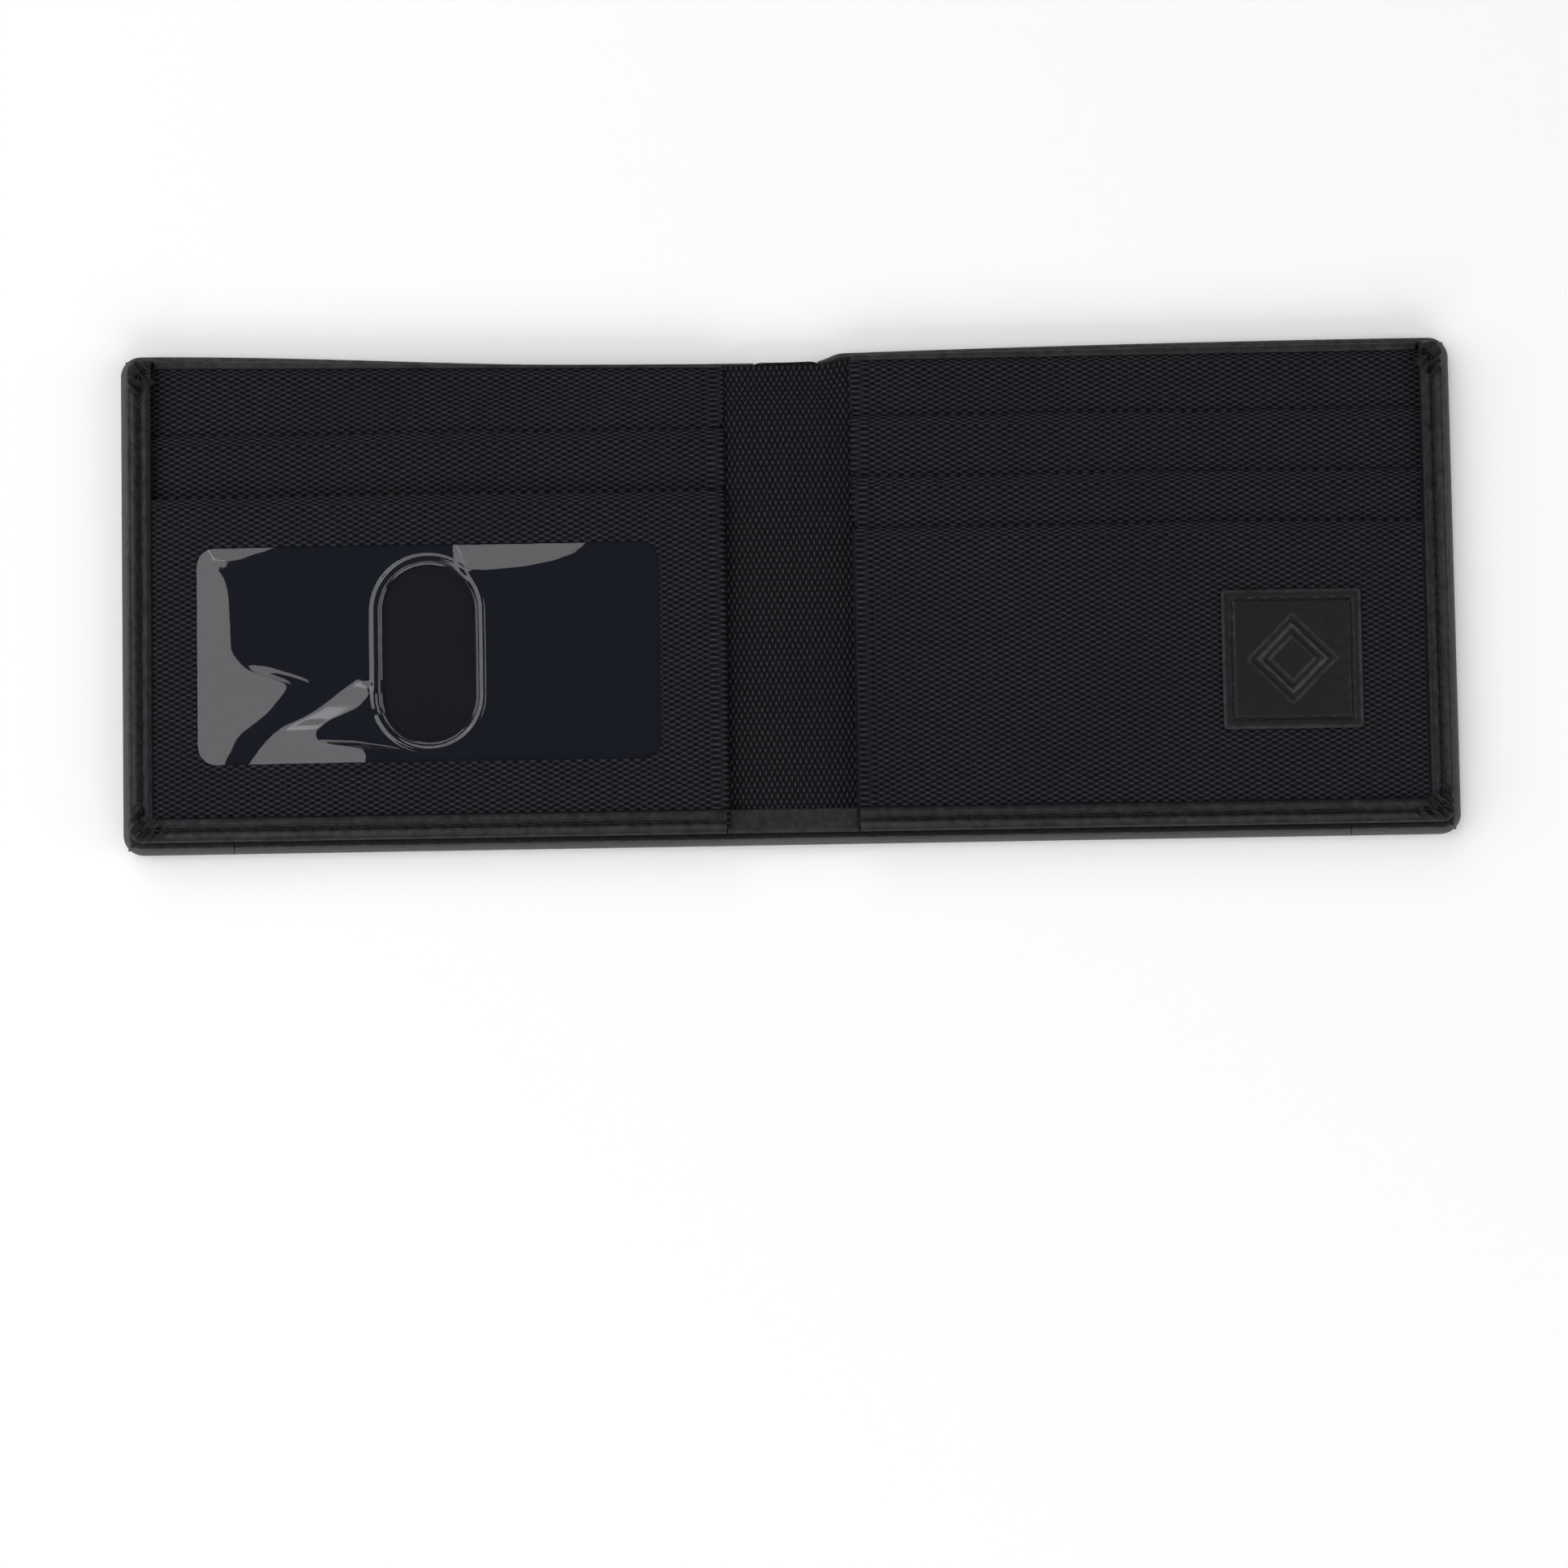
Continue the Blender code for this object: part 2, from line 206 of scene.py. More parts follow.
# Far out, where the soft boxes don't reach, the paper glows a little, so that it stays pale.
paper = Finish("floor_paper")
spot = paper.node("ShaderNodeTexCoord", {}, {}, "Object")
distance = paper.node("ShaderNodeVectorMath", {"operation": "LENGTH"}, {0: spot}, "Value")
glow = {"Value": distance, "From Min": GLOW_FROM, "From Max": GLOW_TO, "To Max": 0.8}
paper.shade(
    Base_Color=(0.97, 0.97, 0.97, 1),
    Roughness=0.9,
    Specular_IOR_Level=0.1,
    Emission_Color=paper.node("ShaderNodeMapRange", {}, glow),
    Emission_Strength=1.0,
)
floor_mesh = bmesh.new()
bmesh.ops.create_grid(floor_mesh, x_segments=1, y_segments=1, size=FLOOR_HALF)
floor = bpy.data.objects.new("floor", bpy.data.meshes.new("floor"))
floor_mesh.to_mesh(floor.data)
floor_mesh.free()
floor.data.materials.append(paper.material)
bpy.context.scene.collection.objects.link(floor)


# Outer cloth --------------------------------------------------------------------------------------
# The outside of the wallet is one sheet of coarse black woven cloth, framed by the leather.
# It runs over the spine in one piece, made here as two halves that meet over the spine.

COLUMN = 0.965  # between the upright rows of holes in the coarse cloth
ROW = 0.483  # between its level yarns
RELIEF = 0.00024  # how far its yarns stand out, in metres
FLOAT_COLOUR = (0.0345, 0.0360, 0.0450, 1)
# The holes' colour is painted shade.
HOLE_SHADE_COLOUR = (0.0008, 0.0008, 0.0014, 1)
TINT_COLOUR = (0.0315, 0.0260, 0.0500, 1)


def shaded(colour, light):
    """The colour, lighter or darker."""
    return tuple(light * part for part in colour)


def weave(name, turned=False, light=1.0, fine=1.0, knots=0.0):
    """Matt-woven cloth of round black yarns: short level floats, with staggered holes between.

    Turned, its floats run along Y. With knots at 1 the floats stand up as knots between shallow
    holes.
    """
    finish = Finish(name)
    place = finish.place()
    wander = finish.node("ShaderNodeTexNoise", {}, {"Vector": place, "Scale": 240.0}, "Color")
    bend = finish.node(
        "ShaderNodeVectorMath",
        {"operation": "MULTIPLY_ADD"},
        {0: wander, 1: (0.00022, 0.00022, 0), 2: place},
    )
    x = finish.node("ShaderNodeSeparateXYZ", {}, {0: bend}, "X")
    y = finish.node("ShaderNodeSeparateXYZ", {}, {0: bend}, "Y")
    if turned:
        x, y = y, x
    across = (x * (math.pi / (COLUMN * fine * MM))).maths("COSINE")
    along = (y * (math.pi / (ROW * fine * MM))).maths("COSINE")
    lattice = across * along
    raised = lattice.maths("MAXIMUM", 0.0)
    hole = (lattice * -1.0).maths("MAXIMUM", 0.0) * across * across
    strands = finish.noise(place, 3600.0 / fine, 3.0)
    height = raised * (0.36 + 0.4 * knots) - hole * (1.25 - 0.8 * knots) - 0.20 * knots
    # Painted shade: holes and low parts of the yarns go near black by height; crowns keep their
    # colour.
    lit = finish.node(
        "ShaderNodeValToRGB",
        {"stops": ((0.52, 0.0), (0.65, 0.13), (0.77, 0.46), (0.93, 1.0))},
        {0: (height + 1.0) * (1 / 1.5)},
    )
    lit = lit * (3.0 * strands - 0.5).maths("MAXIMUM", 0.12)
    clouds = finish.noise(place, 42.0, 3.0)
    tint = finish.node("ShaderNodeValToRGB", {"stops": ((0.45, 0.0), (0.70, 0.9))}, {0: clouds})
    yarn = finish.mix(tint, shaded(FLOAT_COLOUR, light), shaded(TINT_COLOUR, light))
    finish.shade(
        Base_Color=finish.mix(lit, HOLE_SHADE_COLOUR, yarn),
        Roughness=0.75,
        Specular_IOR_Level=0.14,
        Normal=finish.bump(height + 0.25 * strands, RELIEF * fine, 0.9),
    )
    return finish.material


def span(node):
    """A CAD piece's lowest and highest corners."""
    low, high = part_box(node)
    return low / MM, high / MM


cloth_low, cloth_high = span("outer_cloth_right")
BAND_EDGE = span("leather_band_right")[0].x  # where the leather bands' edge lies on the cloth
STRIP_EDGE = 37.5  # and that of the leather strips
SPINE_TAB = 1.1  # how far the outer cloth stands past its leather's line at the top of the spine
SIDES = ((-1, "left"), (1, "right"))


def lines(start, stop, step, fine_at=(), fine=0.16, reach=0.9):
    """Places from start to stop about a step apart, closer together round those in fine_at."""
    places = [start]
    while places[-1] < stop - 1e-6:
        here = places[-1]
        near = min((abs(here - mark) for mark in fine_at), default=step * 99)
        pace = fine if near < reach else min(step, max(fine, near - reach + fine))
        places.append(min(here + pace, stop))
    if len(places) > 2 and places[-1] - places[-2] < fine / 2:
        del places[-2]
    return places


def ease(value):
    """Rises smoothly from 0 to 1 as the value does."""
    value = min(max(value, 0.0), 1.0)
    return value * value * (3 - 2 * value)


def ripple(x, y, size, seed):
    """Soft unevenness between -1 and 1, with humps about as wide as size."""
    return noise.noise(Vector((x / size, y / size, seed)))


def top_sag(x, y):
    """How far the leaves' top edge hangs below the line between its outer corners."""
    inward = 1 - min(abs(x) / cloth_high.x, 1)
    if x < 0:
        cloth, leather_edge = 1.4 * inward, 2.6 * ease(inward / 0.8)
    else:
        cloth = 0.4 * inward + 1 - ease((x - 5) / 7)
        leather_edge = 1.35 * inward**2 + 1.25 * (1 - ease((x - 5) / 4.6))
    return cloth * ease((y - 29.5) / 9) + (leather_edge - cloth) * ease((y - 39.6) / 2.2)


def before_sag(point):
    """Where a point of a finished piece, in metres, was laid, in millimetres."""
    x, y, z = point / MM
    return x, y + top_sag(x, y + top_sag(x, y)), z


def laid(name, columns, rows, place, outward, thickness, material, pattern=None):
    """A sheet of columns by rows cells, with each corner where place(column, row) puts it.

    outward says which way most of its outside faces, and the thickness is added behind that.
    pattern(x, y) says where on the cloth a point of the sheet was cut from.
    """
    work = bmesh.new()
    bmesh.ops.create_grid(work, x_segments=columns, y_segments=rows, size=1)
    for vertex in work.verts:
        column = round((vertex.co.x + 1) / 2 * columns)
        row = round((vertex.co.y + 1) / 2 * rows)
        vertex.co = Vector(place(column, row))
    bmesh.ops.remove_doubles(work, verts=work.verts, dist=0.002)
    bmesh.ops.dissolve_degenerate(work, edges=work.edges, dist=0.001)
    work.normal_update()
    facing = sum(face.normal.dot(Vector(outward)) * face.calc_area() for face in work.faces)
    if facing < 0:
        bmesh.ops.reverse_faces(work, faces=work.faces)
    bmesh.ops.scale(work, vec=(MM, MM, MM), verts=work.verts)
    return finished(name, work, material, thickness, pattern)


SHARP = math.radians(55)  # faces that meet at more than this keep a sharp edge between them


def finished(name, work, material, thickness=0.0, pattern=None):
    """The work as an object, which remembers where its points are while the wallet is open."""
    for face in work.faces:
        face.smooth = True
    for vertex in work.verts:
        vertex.co.y -= top_sag(vertex.co.x / MM, vertex.co.y / MM) * MM
    mesh = bpy.data.meshes.new(name)
    work.to_mesh(mesh)
    work.free()
    piece = bpy.data.objects.new(name, mesh)
    bpy.context.scene.collection.objects.link(piece)
    if thickness:
        thicken = piece.modifiers.new("thickness", "SOLIDIFY")
        thicken.thickness = thickness * MM
        thicken.offset = -1
        thicken.use_even_offset = False
        bpy.context.view_layer.update()
        solid = piece.evaluated_get(bpy.context.evaluated_depsgraph_get())
        mesh = bpy.data.meshes.new_from_object(solid)
        piece.modifiers.clear()
        piece.data = mesh
        mesh.name = name
    mesh.set_sharp_from_angle(angle=SHARP)
    rest = mesh.attributes.new("place", "FLOAT_VECTOR", "POINT")
    for vertex, value in zip(mesh.vertices, rest.data):
        x, y, z = before_sag(vertex.co)
        if pattern:
            x, y = pattern(x, y)
        value.vector = Vector((x, y, z)) * MM
    mesh.materials.append(material)
    return piece


BEND_FROM, BEND_TO = 0.6, 8.0  # the crease lies between these distances from the middle


def fold_over(piece, side):
    """Bakes the piece's transform into its mesh. The piece is not bent at its crease."""
    if side < 0:
        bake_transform(piece)
    else:
        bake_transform(piece)


woven = weave("woven_cloth")
# The outer cloth is the same cloth with its colours painted 15 % lighter, as painted light.
woven_outside_lit = weave("woven_cloth_outside_lit", light=1.15)
woven_turned = weave("woven_cloth_turned", turned=True, light=1.05, knots=1.0)

OUTER_CLOTH = 0.5  # its thickness


def outer_cloth_height(x, y):
    """The cloth is drawn tight over its board, and stands a little out of the leather frame."""
    inside = ease((BAND_EDGE + 1.5 - abs(x)) / 7) * ease((STRIP_EDGE + 1.5 - abs(y)) / 7)
    return cloth_low.z - 0.38 * inside + 0.05 * inside * ripple(x, y, 13, 3.1)


for side, word in SIDES:
    xs = lines(0, cloth_high.x, 1.4, (5.2,), 0.45, 5)
    ys = lines(cloth_low.y, cloth_high.y, 1.4)
    shell = laid(
        f"outer_cloth_{word}_half",
        len(xs) - 1,
        len(ys) - 1,
        lambda i, j: (
            side * xs[i],
            ys[j] + SPINE_TAB * ease((ys[j] - 36) / 3) * (1 - ease((xs[i] - 4) / 4)),
            outer_cloth_height(xs[i], ys[j]),
        ),
        (0, 0, -1),
        OUTER_CLOTH,
        material=woven_outside_lit,
    )
    fold_over(shell, side)
    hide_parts(f"outer_cloth_{word}", *(["outer_cloth_spine"] if side < 0 else []))


# Stiffeners ---------------------------------------------------------------------------------------
# Grey-brown board is glued behind the cloth of each panel and keeps it flat. It ends before
# the creases, so that the spine stays soft.

BOARD_DARK = (0.040, 0.034, 0.028, 1)
BOARD_LIGHT = (0.110, 0.098, 0.082, 1)

card_board = Finish("stiffener_board")
place = card_board.node("ShaderNodeTexCoord", {}, {}, "Object")
fibres = card_board.noise(place, 900.0, 6.0)
card_board.shade(
    Base_Color=card_board.mix(fibres, BOARD_DARK, BOARD_LIGHT),
    Roughness=0.9,
    Normal=card_board.bump(fibres, 0.00005),
)
for side, word in SIDES:
    low, high = span(f"stiffener_{word}")
    near, far = sorted((abs(low.x), abs(high.x)))
    xs = lines(near, far, 3)
    ys = lines(low.y, high.y - 0.8, 2)
    stiffener = laid(
        f"stiffener_board_{word}",
        len(xs) - 1,
        len(ys) - 1,
        lambda i, j: (side * xs[i], ys[j], high.z),
        (0, 0, 1),
        high.z - low.z,
        material=card_board.material,
    )
    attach(stiffener, f"{word}_panel")
    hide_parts(f"stiffener_{word}")


# Banknote lining ----------------------------------------------------------------------------------
# Thin black nylon lines the banknote compartment, on the inner side of the outer leaf. It is
# caught in the seams round its edge.

lining_cloth = weave("lining_cloth", light=0.7, fine=0.32)
lining_low, lining_high = span("bill_lining_right")
for side, word in SIDES:
    xs = lines(0, lining_high.x, 2.2, (5.2,), 0.45, 5)
    ys = lines(lining_low.y, lining_high.y, 2.2)
    lining = laid(
        f"banknote_lining_{word}_half",
        len(xs) - 1,
        len(ys) - 1,
        lambda i, j: (side * xs[i], ys[j], lining_high.z),
        (0, 0, 1),
        lining_high.z - lining_low.z,
        material=lining_cloth,
    )
    fold_over(lining, side)
    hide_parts(f"bill_lining_{word}", *(["bill_lining_spine"] if side < 0 else []))


# Leather bands ------------------------------------------------------------------------------------
# A wide band of soft pebbled leather is folded round each end of the outer leaf. Its edge on
# the cloth is turned under and creased, and one row of stitches holds it on three sides.

LEATHER_COLOUR = (0.0092, 0.0088, 0.0110, 1)
LEATHER_WORN_AND_LIT = (0.0640, 0.0600, 0.0620, 1)
LEATHER_SHADE = (0.0028, 0.0027, 0.0036, 1)
band_low, band_high = span("leather_band_right")
HALF, TOP, BOTTOM = band_high.x, band_high.y, band_low.y
STRIP = TOP - STRIP_EDGE
CORNER = 3.4
TURNED_IN = 7.0  # how far the leather reaches in behind the edge
EDGE_ROUND = 1.15  # the outer leaf's edge, where leather is folded over the boards
RIM_ROUND = 0.8  # and the edge on its inner side
STITCH_IN = 3.0  # from the edge to the row of stitches
PITCH = 3.1  # from one stitch to the next
CREASE_IN = 1.8  # from the band's inner edge to the line creased beside it
LEATHER_BACK = 0.55  # the leather's thickness


def leather(name, light=1.0, pebble=1.0, roughness=0.46):
    """Black leather: fine pebbles, pores and creases. It is paler where a piece marks wear and
    painted highlight, and darker where it marks painted shade; its grain's hollows get painted
    shade too.
    """
    finish = Finish(name)
    place = finish.place()
    pebbles = finish.node(
        "ShaderNodeTexVoronoi",
        {"feature": "SMOOTH_F1"},
        {"Vector": place, "Scale": 1500.0, "Smoothness": 0.6, "Randomness": 1.0},
    )
    hollows = finish.noise(place, 620.0, 5.0)
    creases = finish.node(
        "ShaderNodeTexNoise",
        {"noise_type": "RIDGED_MULTIFRACTAL"},
        {"Vector": place, "Scale": 260.0, "Detail": 4.0},
    )
    patches = finish.noise(place, 70.0, 4.0)
    worn = finish.node("ShaderNodeAttribute", {"attribute_name": "worn"}, {}, "Fac")
    # Paler where a piece marks wear and painted highlight.
    wear_and_highlight = finish.node(
        "ShaderNodeValToRGB",
        {"stops": ((0.22, 0.0), (0.85, 1.0))},
        {0: worn * (0.30 + 0.95 * hollows) + 0.20 * patches},
    )
    # Painted shade: the grain's hollows, and the places a piece marks below zero, go towards the
    # shade colour.
    deep = finish.node("ShaderNodeValToRGB", {"stops": ((0.36, 1.0), (0.60, 0.0))}, {0: hollows})
    sunk = (worn * -1.0).maths("MAXIMUM", 0.0)
    sunk = (0.75 * deep).maths("MAXIMUM", sunk)
    base = finish.mix(sunk, shaded(LEATHER_COLOUR, light), shaded(LEATHER_SHADE, light))
    height = (1.0 - pebbles) * (0.55 * pebble) + hollows * 0.7 - 0.3 * creases
    finish.shade(
        Base_Color=finish.mix(wear_and_highlight, base, shaded(LEATHER_WORN_AND_LIT, light)),
        Roughness=roughness + 0.24 * (patches - 0.5) + 0.14 * deep,
        Specular_IOR_Level=0.22,
        Normal=finish.bump(height, 0.00012, 0.9),
    )
    return finish.material


def end_path(end, bottom, top, radius, leads, step, fine_at=(), fine=0.2, reach=0.9, turns=14):
    """Points along a panel's edge: in from leads[0] on its top, round its end, and back along
    its bottom to leads[1]. Each is a centre, and the way out from it. The panel is the right one.
    """
    inner = end - radius
    marks = (*fine_at, inner)
    path = [(x, top - radius, 0.0, 1.0) for x in lines(leads[0], inner, step, marks, fine, reach)]
    for index in range(1, turns):
        turn = math.pi / 2 * (1 - index / turns)
        path.append((inner, top - radius, math.cos(turn), math.sin(turn)))
    ends = (bottom + radius, top - radius)
    path += [(inner, y, 1.0, 0.0) for y in reversed(lines(*ends, step, ends, fine, reach))]
    for index in range(1, turns):
        turn = -math.pi / 2 * index / turns
        path.append((inner, bottom + radius, math.cos(turn), math.sin(turn)))
    for x in reversed(lines(leads[1], inner, step, marks, fine, reach)):
        path.append((x, bottom + radius, 0.0, -1.0))
    return path


def inset(point, end, bottom, top, radius, depth, least=0.7):
    """Where a path's point comes to at a depth in from the edge. Corners keep a least radius."""
    x, y, out_x, out_y = point
    small = max(radius - depth, least)
    x = min(x, end - depth - small)
    y = min(max(y, bottom + depth + small), top - depth - small)
    return x + out_x * small, y + out_y * small


def arc(centre_depth, centre_z, radius, start, stop, steps):
    """Points of a section, as depth in from the edge and height, from one angle to another."""
    points = []
    for index in range(steps + 1):
        turn = math.radians(start + (stop - start) * index / steps)
        points.append(
            (centre_depth - radius * math.cos(turn), centre_z + radius * math.sin(turn))
        )
    return points


def fold_section(reach, turned_in, step=1.1, fine_at=()):
    """Leather round the outer leaf's edge, from its reach on the outside to what is turned in."""
    rim = band_high.z
    outside = [(depth, 0.0) for depth in reversed(lines(EDGE_ROUND, reach, step, fine_at))]
    under = arc(EDGE_ROUND, EDGE_ROUND, EDGE_ROUND, -90, 0, 6)
    over = arc(RIM_ROUND, rim - RIM_ROUND, RIM_ROUND, 0, 90, 5)
    inside = [(depth, rim) for depth in lines(RIM_ROUND, turned_in, step)]
    return outside + under[1:] + over + inside[1:]


def groove(distance, width, depth):
    """How deep a soft groove is at a distance from its middle."""
    return depth * math.exp(-((distance / width) ** 2))


def stitch_wave(along):
    """0 in the middle of a stitch, 1 where the thread goes down."""
    return (1 - math.cos(2 * math.pi * along / PITCH)) / 2


def outer_leather(x, y, z, depth):
    """Height of the outer leaf's leather with its grooves, puckers and unevenness."""
    x = abs(x)
    uneven = 0.07 * ripple(x, y, 5, 8.2) + 0.05 * ripple(x, y, 2.1, 1.2)
    if z > 1.5:
        return z - 0.03 + 0.6 * uneven if depth > 0.2 else z
    if depth < EDGE_ROUND * 0.6:
        return z
    height = z + 0.07 + uneven * ease((depth - 0.4) / 1.5)
    edge = min(HALF - x, TOP - abs(y))
    along = x if TOP - abs(y) < HALF - x else y
    height += groove(edge - STITCH_IN, 0.42, 0.20 + 0.12 * stitch_wave(along))
    if x > BAND_EDGE:
        height += groove(x - BAND_EDGE - CREASE_IN, 0.28, 0.20)
        height += 0.32 * ease((0.4 - (x - BAND_EDGE)) / 0.4)
    elif depth > STRIP - 0.45:
        height += 0.30 * ease((depth - STRIP + 0.45) / 0.45)
    return max(height, 0.03)


def wear_and_light_at(piece, wear_and_highlight):
    """Stores each point's wear and painted light by its place: 1 is pale, from wear and painted
    highlight, and -1 is painted shade.
    """
    values = piece.data.attributes.new("worn", "FLOAT", "POINT")
    for vertex, value in zip(piece.data.vertices, values.data):
        value.value = wear_and_highlight(*before_sag(vertex.co))


BAND = HALF - BAND_EDGE
band_leather = leather("pebbled_leather", light=1.25, pebble=1.3, roughness=0.44)
band_path = end_path(
    HALF,
    BOTTOM,
    TOP,
    CORNER,
    leads=(BAND_EDGE, BAND_EDGE),
    step=0.8,
    fine_at=(BAND_EDGE + CREASE_IN, BAND_EDGE),
)
band_section = fold_section(BAND, TURNED_IN, fine_at=(BAND - CREASE_IN, STITCH_IN, BAND))


def edge_wear_and_light(x, y, z):
    """The outer leaf's folded edge is paler, partly rubbed and partly a painted highlight, and
    least along its top, which faces away from the lights. Inside the rim, painted shade darkens
    the gap beside the inner binding, and the row of stitches is darker.
    """
    end, low, high = HALF - abs(x), y - BOTTOM, TOP - y
    rubbed_and_lit = max(ease(1.3 - end / 2), ease(1.3 - low / 2), 0.3 * ease(1.3 - high / 2))
    if z > 2.6:
        # On the rim's top the paleness is raised, a painted highlight, and further in painted shade
        # darkens the gap.
        return 1.5 * rubbed_and_lit - 1.9 * ease((min(end, low, high) - 1.25) / 0.5)
    if z > 1.0:
        return rubbed_and_lit
    return rubbed_and_lit - math.exp(-(((min(end, low, high) - STITCH_IN) / 0.4) ** 2))


for side, word in SIDES:

    def place_band(column, row):
        point, (depth, z) = band_path[column], band_section[row]
        x, y = inset(point, HALF, BOTTOM, TOP, CORNER, depth)
        x = max(x, BAND_EDGE)
        return side * x, y, outer_leather(x, y, z, depth)

    band = laid(
        f"pebbled_band_{word}",
        len(band_path) - 1,
        len(band_section) - 1,
        place_band,
        (side, 0, 0),
        LEATHER_BACK,
        material=band_leather,
    )
    wear_and_light_at(band, edge_wear_and_light)
    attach(band, f"{word}_panel")
    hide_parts(f"leather_band_{word}")


# Edge strips --------------------------------------------------------------------------------------
# Narrow strips of the same leather are folded over the top and bottom edges between the bands.
# The bottom strip runs on round the spine, and the top one leaves the spine's cloth bare.

SEAM_GAP = 0.12  # between a strip's end and the band
top_start = span("top_binding_right")[0].x
strip_section = fold_section(STRIP, TURNED_IN, 0.9, fine_at=(STITCH_IN, STRIP))


def place_strip(side, edge, xs):
    """How laid() places a strip along the top or the bottom edge."""

    def place(column, row):
        depth, z = strip_section[row]
        y = edge - math.copysign(depth, edge)
        return side * xs[column], y, outer_leather(xs[column], y, z, depth)

    return place


for side, word in SIDES:
    for edge, name, start in ((TOP, "top", top_start), (BOTTOM, "bottom", 0.0)):
        xs = lines(start, BAND_EDGE - SEAM_GAP, 0.75)
        strip = laid(
            f"{name}_strip_{word}",
            len(xs) - 1,
            len(strip_section) - 1,
            place_strip(side, edge, xs),
            (0, edge, 0),
            LEATHER_BACK,
            material=band_leather,
        )
        wear_and_light_at(strip, edge_wear_and_light)
        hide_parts(f"{name}_binding_{word}")
        if start > 0:
            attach(strip, f"{word}_panel")
        else:
            fold_over(strip, side)
            if side < 0:
                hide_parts("bottom_binding_spine")


# Stitches of the outer leaf -----------------------------------------------------------------------
# Twisted polyester thread, sewn right through in a row 3 mm from the edge. Each stitch is a
# short loop that goes down into the leather at both ends.

STITCH = 2.3  # how long one stitch is
THREAD = 0.36  # and how thick
OUTER_THREAD_Z = 0.22

thread = Finish("black_thread")
twist = thread.noise(thread.place(), 4200.0, 2.0)
thread.shade(
    Base_Color=thread.mix(twist, (0.002, 0.002, 0.003, 1), (0.010, 0.010, 0.012, 1)),
    Roughness=0.55,
    Specular_IOR_Level=0.2,
    Normal=thread.bump(twist, 0.00004),
)


def stitches(name, seams, body, side=1):
    """Stitches at the given middles and directions. Both ends bend down, away from the side."""
    work = bmesh.new()
    for middle, along in seams:
        made = bmesh.ops.create_uvsphere(work, u_segments=8, v_segments=6, radius=1)
        along = Vector((*along, 0))
        across = Vector((-along.y, along.x, 0))
        for vertex in made["verts"]:
            reach = math.copysign(abs(vertex.co.z) ** 0.7, vertex.co.z)
            place = Vector(middle) + along * (reach * STITCH / 2)
            place += across * (vertex.co.x * THREAD / 2)
            place.z += vertex.co.y * THREAD / 2 - side * 0.11 * reach * reach
            vertex.co = place
    bmesh.ops.recalc_face_normals(work, faces=work.faces)
    bmesh.ops.scale(work, vec=(MM, MM, MM), verts=work.verts)
    piece = finished(name, work, thread.material)
    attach(piece, body)
    return piece


def whole_pitches(start, stop):
    """Middles of the stitches that fit between two places."""
    first, last = math.ceil(start / PITCH + 0.45), math.floor(stop / PITCH - 0.45)
    return [index * PITCH for index in range(first, last + 1)]


for side, word in SIDES:
    seams = []
    for y in whole_pitches(BOTTOM + STITCH_IN, TOP - STITCH_IN):
        seams.append(((side * (HALF - STITCH_IN), y, OUTER_THREAD_Z), (0, 1)))
    for y in (BOTTOM + STITCH_IN, TOP - STITCH_IN):
        for x in whole_pitches(BEND_TO + 1, HALF - STITCH_IN):
            seams.append(((side * x, y, OUTER_THREAD_Z), (1, 0)))
    stitches(f"outer_stitches_{word}", seams, f"{word}_panel", -1)
seams = [((x, BOTTOM + STITCH_IN, OUTER_THREAD_Z), (1, 0)) for x in (-PITCH / 2, PITCH / 2)]
stitches("outer_stitches_spine", seams, "spine", -1)


# Divider and gusset -------------------------------------------------------------------------------
# One sheet divides the banknotes from the cards. Over the spine it shows as a soft gusset,
# with its cloth turned a quarter, a little fuller than it needs to be so that it can fold.

divider_low, divider_high = span("divider_right")
panel_start = span("right_pocket_back")[0].x
inner_top = divider_high.y
GUSSET_HEM = 1.7  # width of the hem along its top


def gusset_height(x, y):
    """Over the spine the gusset stands up in soft upright folds, and its hem is thicker."""
    across = min(abs(x) / (panel_start - 0.9), 1.0)
    full = (1 - across * across) ** 1.5 if across < 1 else 0.0
    folds = 0.30 * ripple(x * 1.7, y * 0.32, 4.2, 5.5) + 0.12 * ripple(x, y * 0.6, 2.4, 9.1)
    height = divider_high.z + full * (0.50 + folds)
    below_top = inner_top - y
    height += 0.13 * full * (1 - ease((below_top - GUSSET_HEM) / 0.35))
    return height - 0.10 * (1 - ease(below_top / 0.4))


for side, word in SIDES:
    xs = lines(0, divider_high.x, 3.0, (0, 8), 0.4, 4.5)
    ys = lines(divider_low.y, inner_top, 1.0, (inner_top - GUSSET_HEM, inner_top), 0.25, 0.6)
    gusset = laid(
        f"divider_gusset_{word}_half",
        len(xs) - 1,
        len(ys) - 1,
        lambda i, j: (side * xs[i], ys[j], gusset_height(xs[i], ys[j])),
        (0, 0, 1),
        divider_high.z - divider_low.z - 0.05,
        material=woven_turned,
    )
    fold_over(gusset, side)
    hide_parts(f"divider_{word}", *(["divider_spine"] if side < 0 else []))


# Card pockets -------------------------------------------------------------------------------------
# Sheets of the woven cloth lie on each other, each lower than the one behind it. Each mouth is
# a narrow turned hem, a little slack, and beside the spine every sheet is turned down and sewn.

MOUTH_HEM = 1.7
SIDE_HEM = 3.0
TURN_DOWN = 0.55  # how far before the panel's start the top sheet's folded edge reaches
EDGE_FOLD = 0.55  # width of the rounding on that edge
SHEET_BACK = 0.3  # a sheet's thickness
SHEET_END = 109.2  # how far out the sheets reach, under the inner binding
SEWN_OUT, SEWN_LOW = 105, -35.5  # where the binding's seams hold them flat
SLACK_OUT = 106  # a mouth is slack up to here
LEFT_SLACK, RIGHT_SLACK = 0.38, 0.36  # how far the mouths of the card pockets stand open


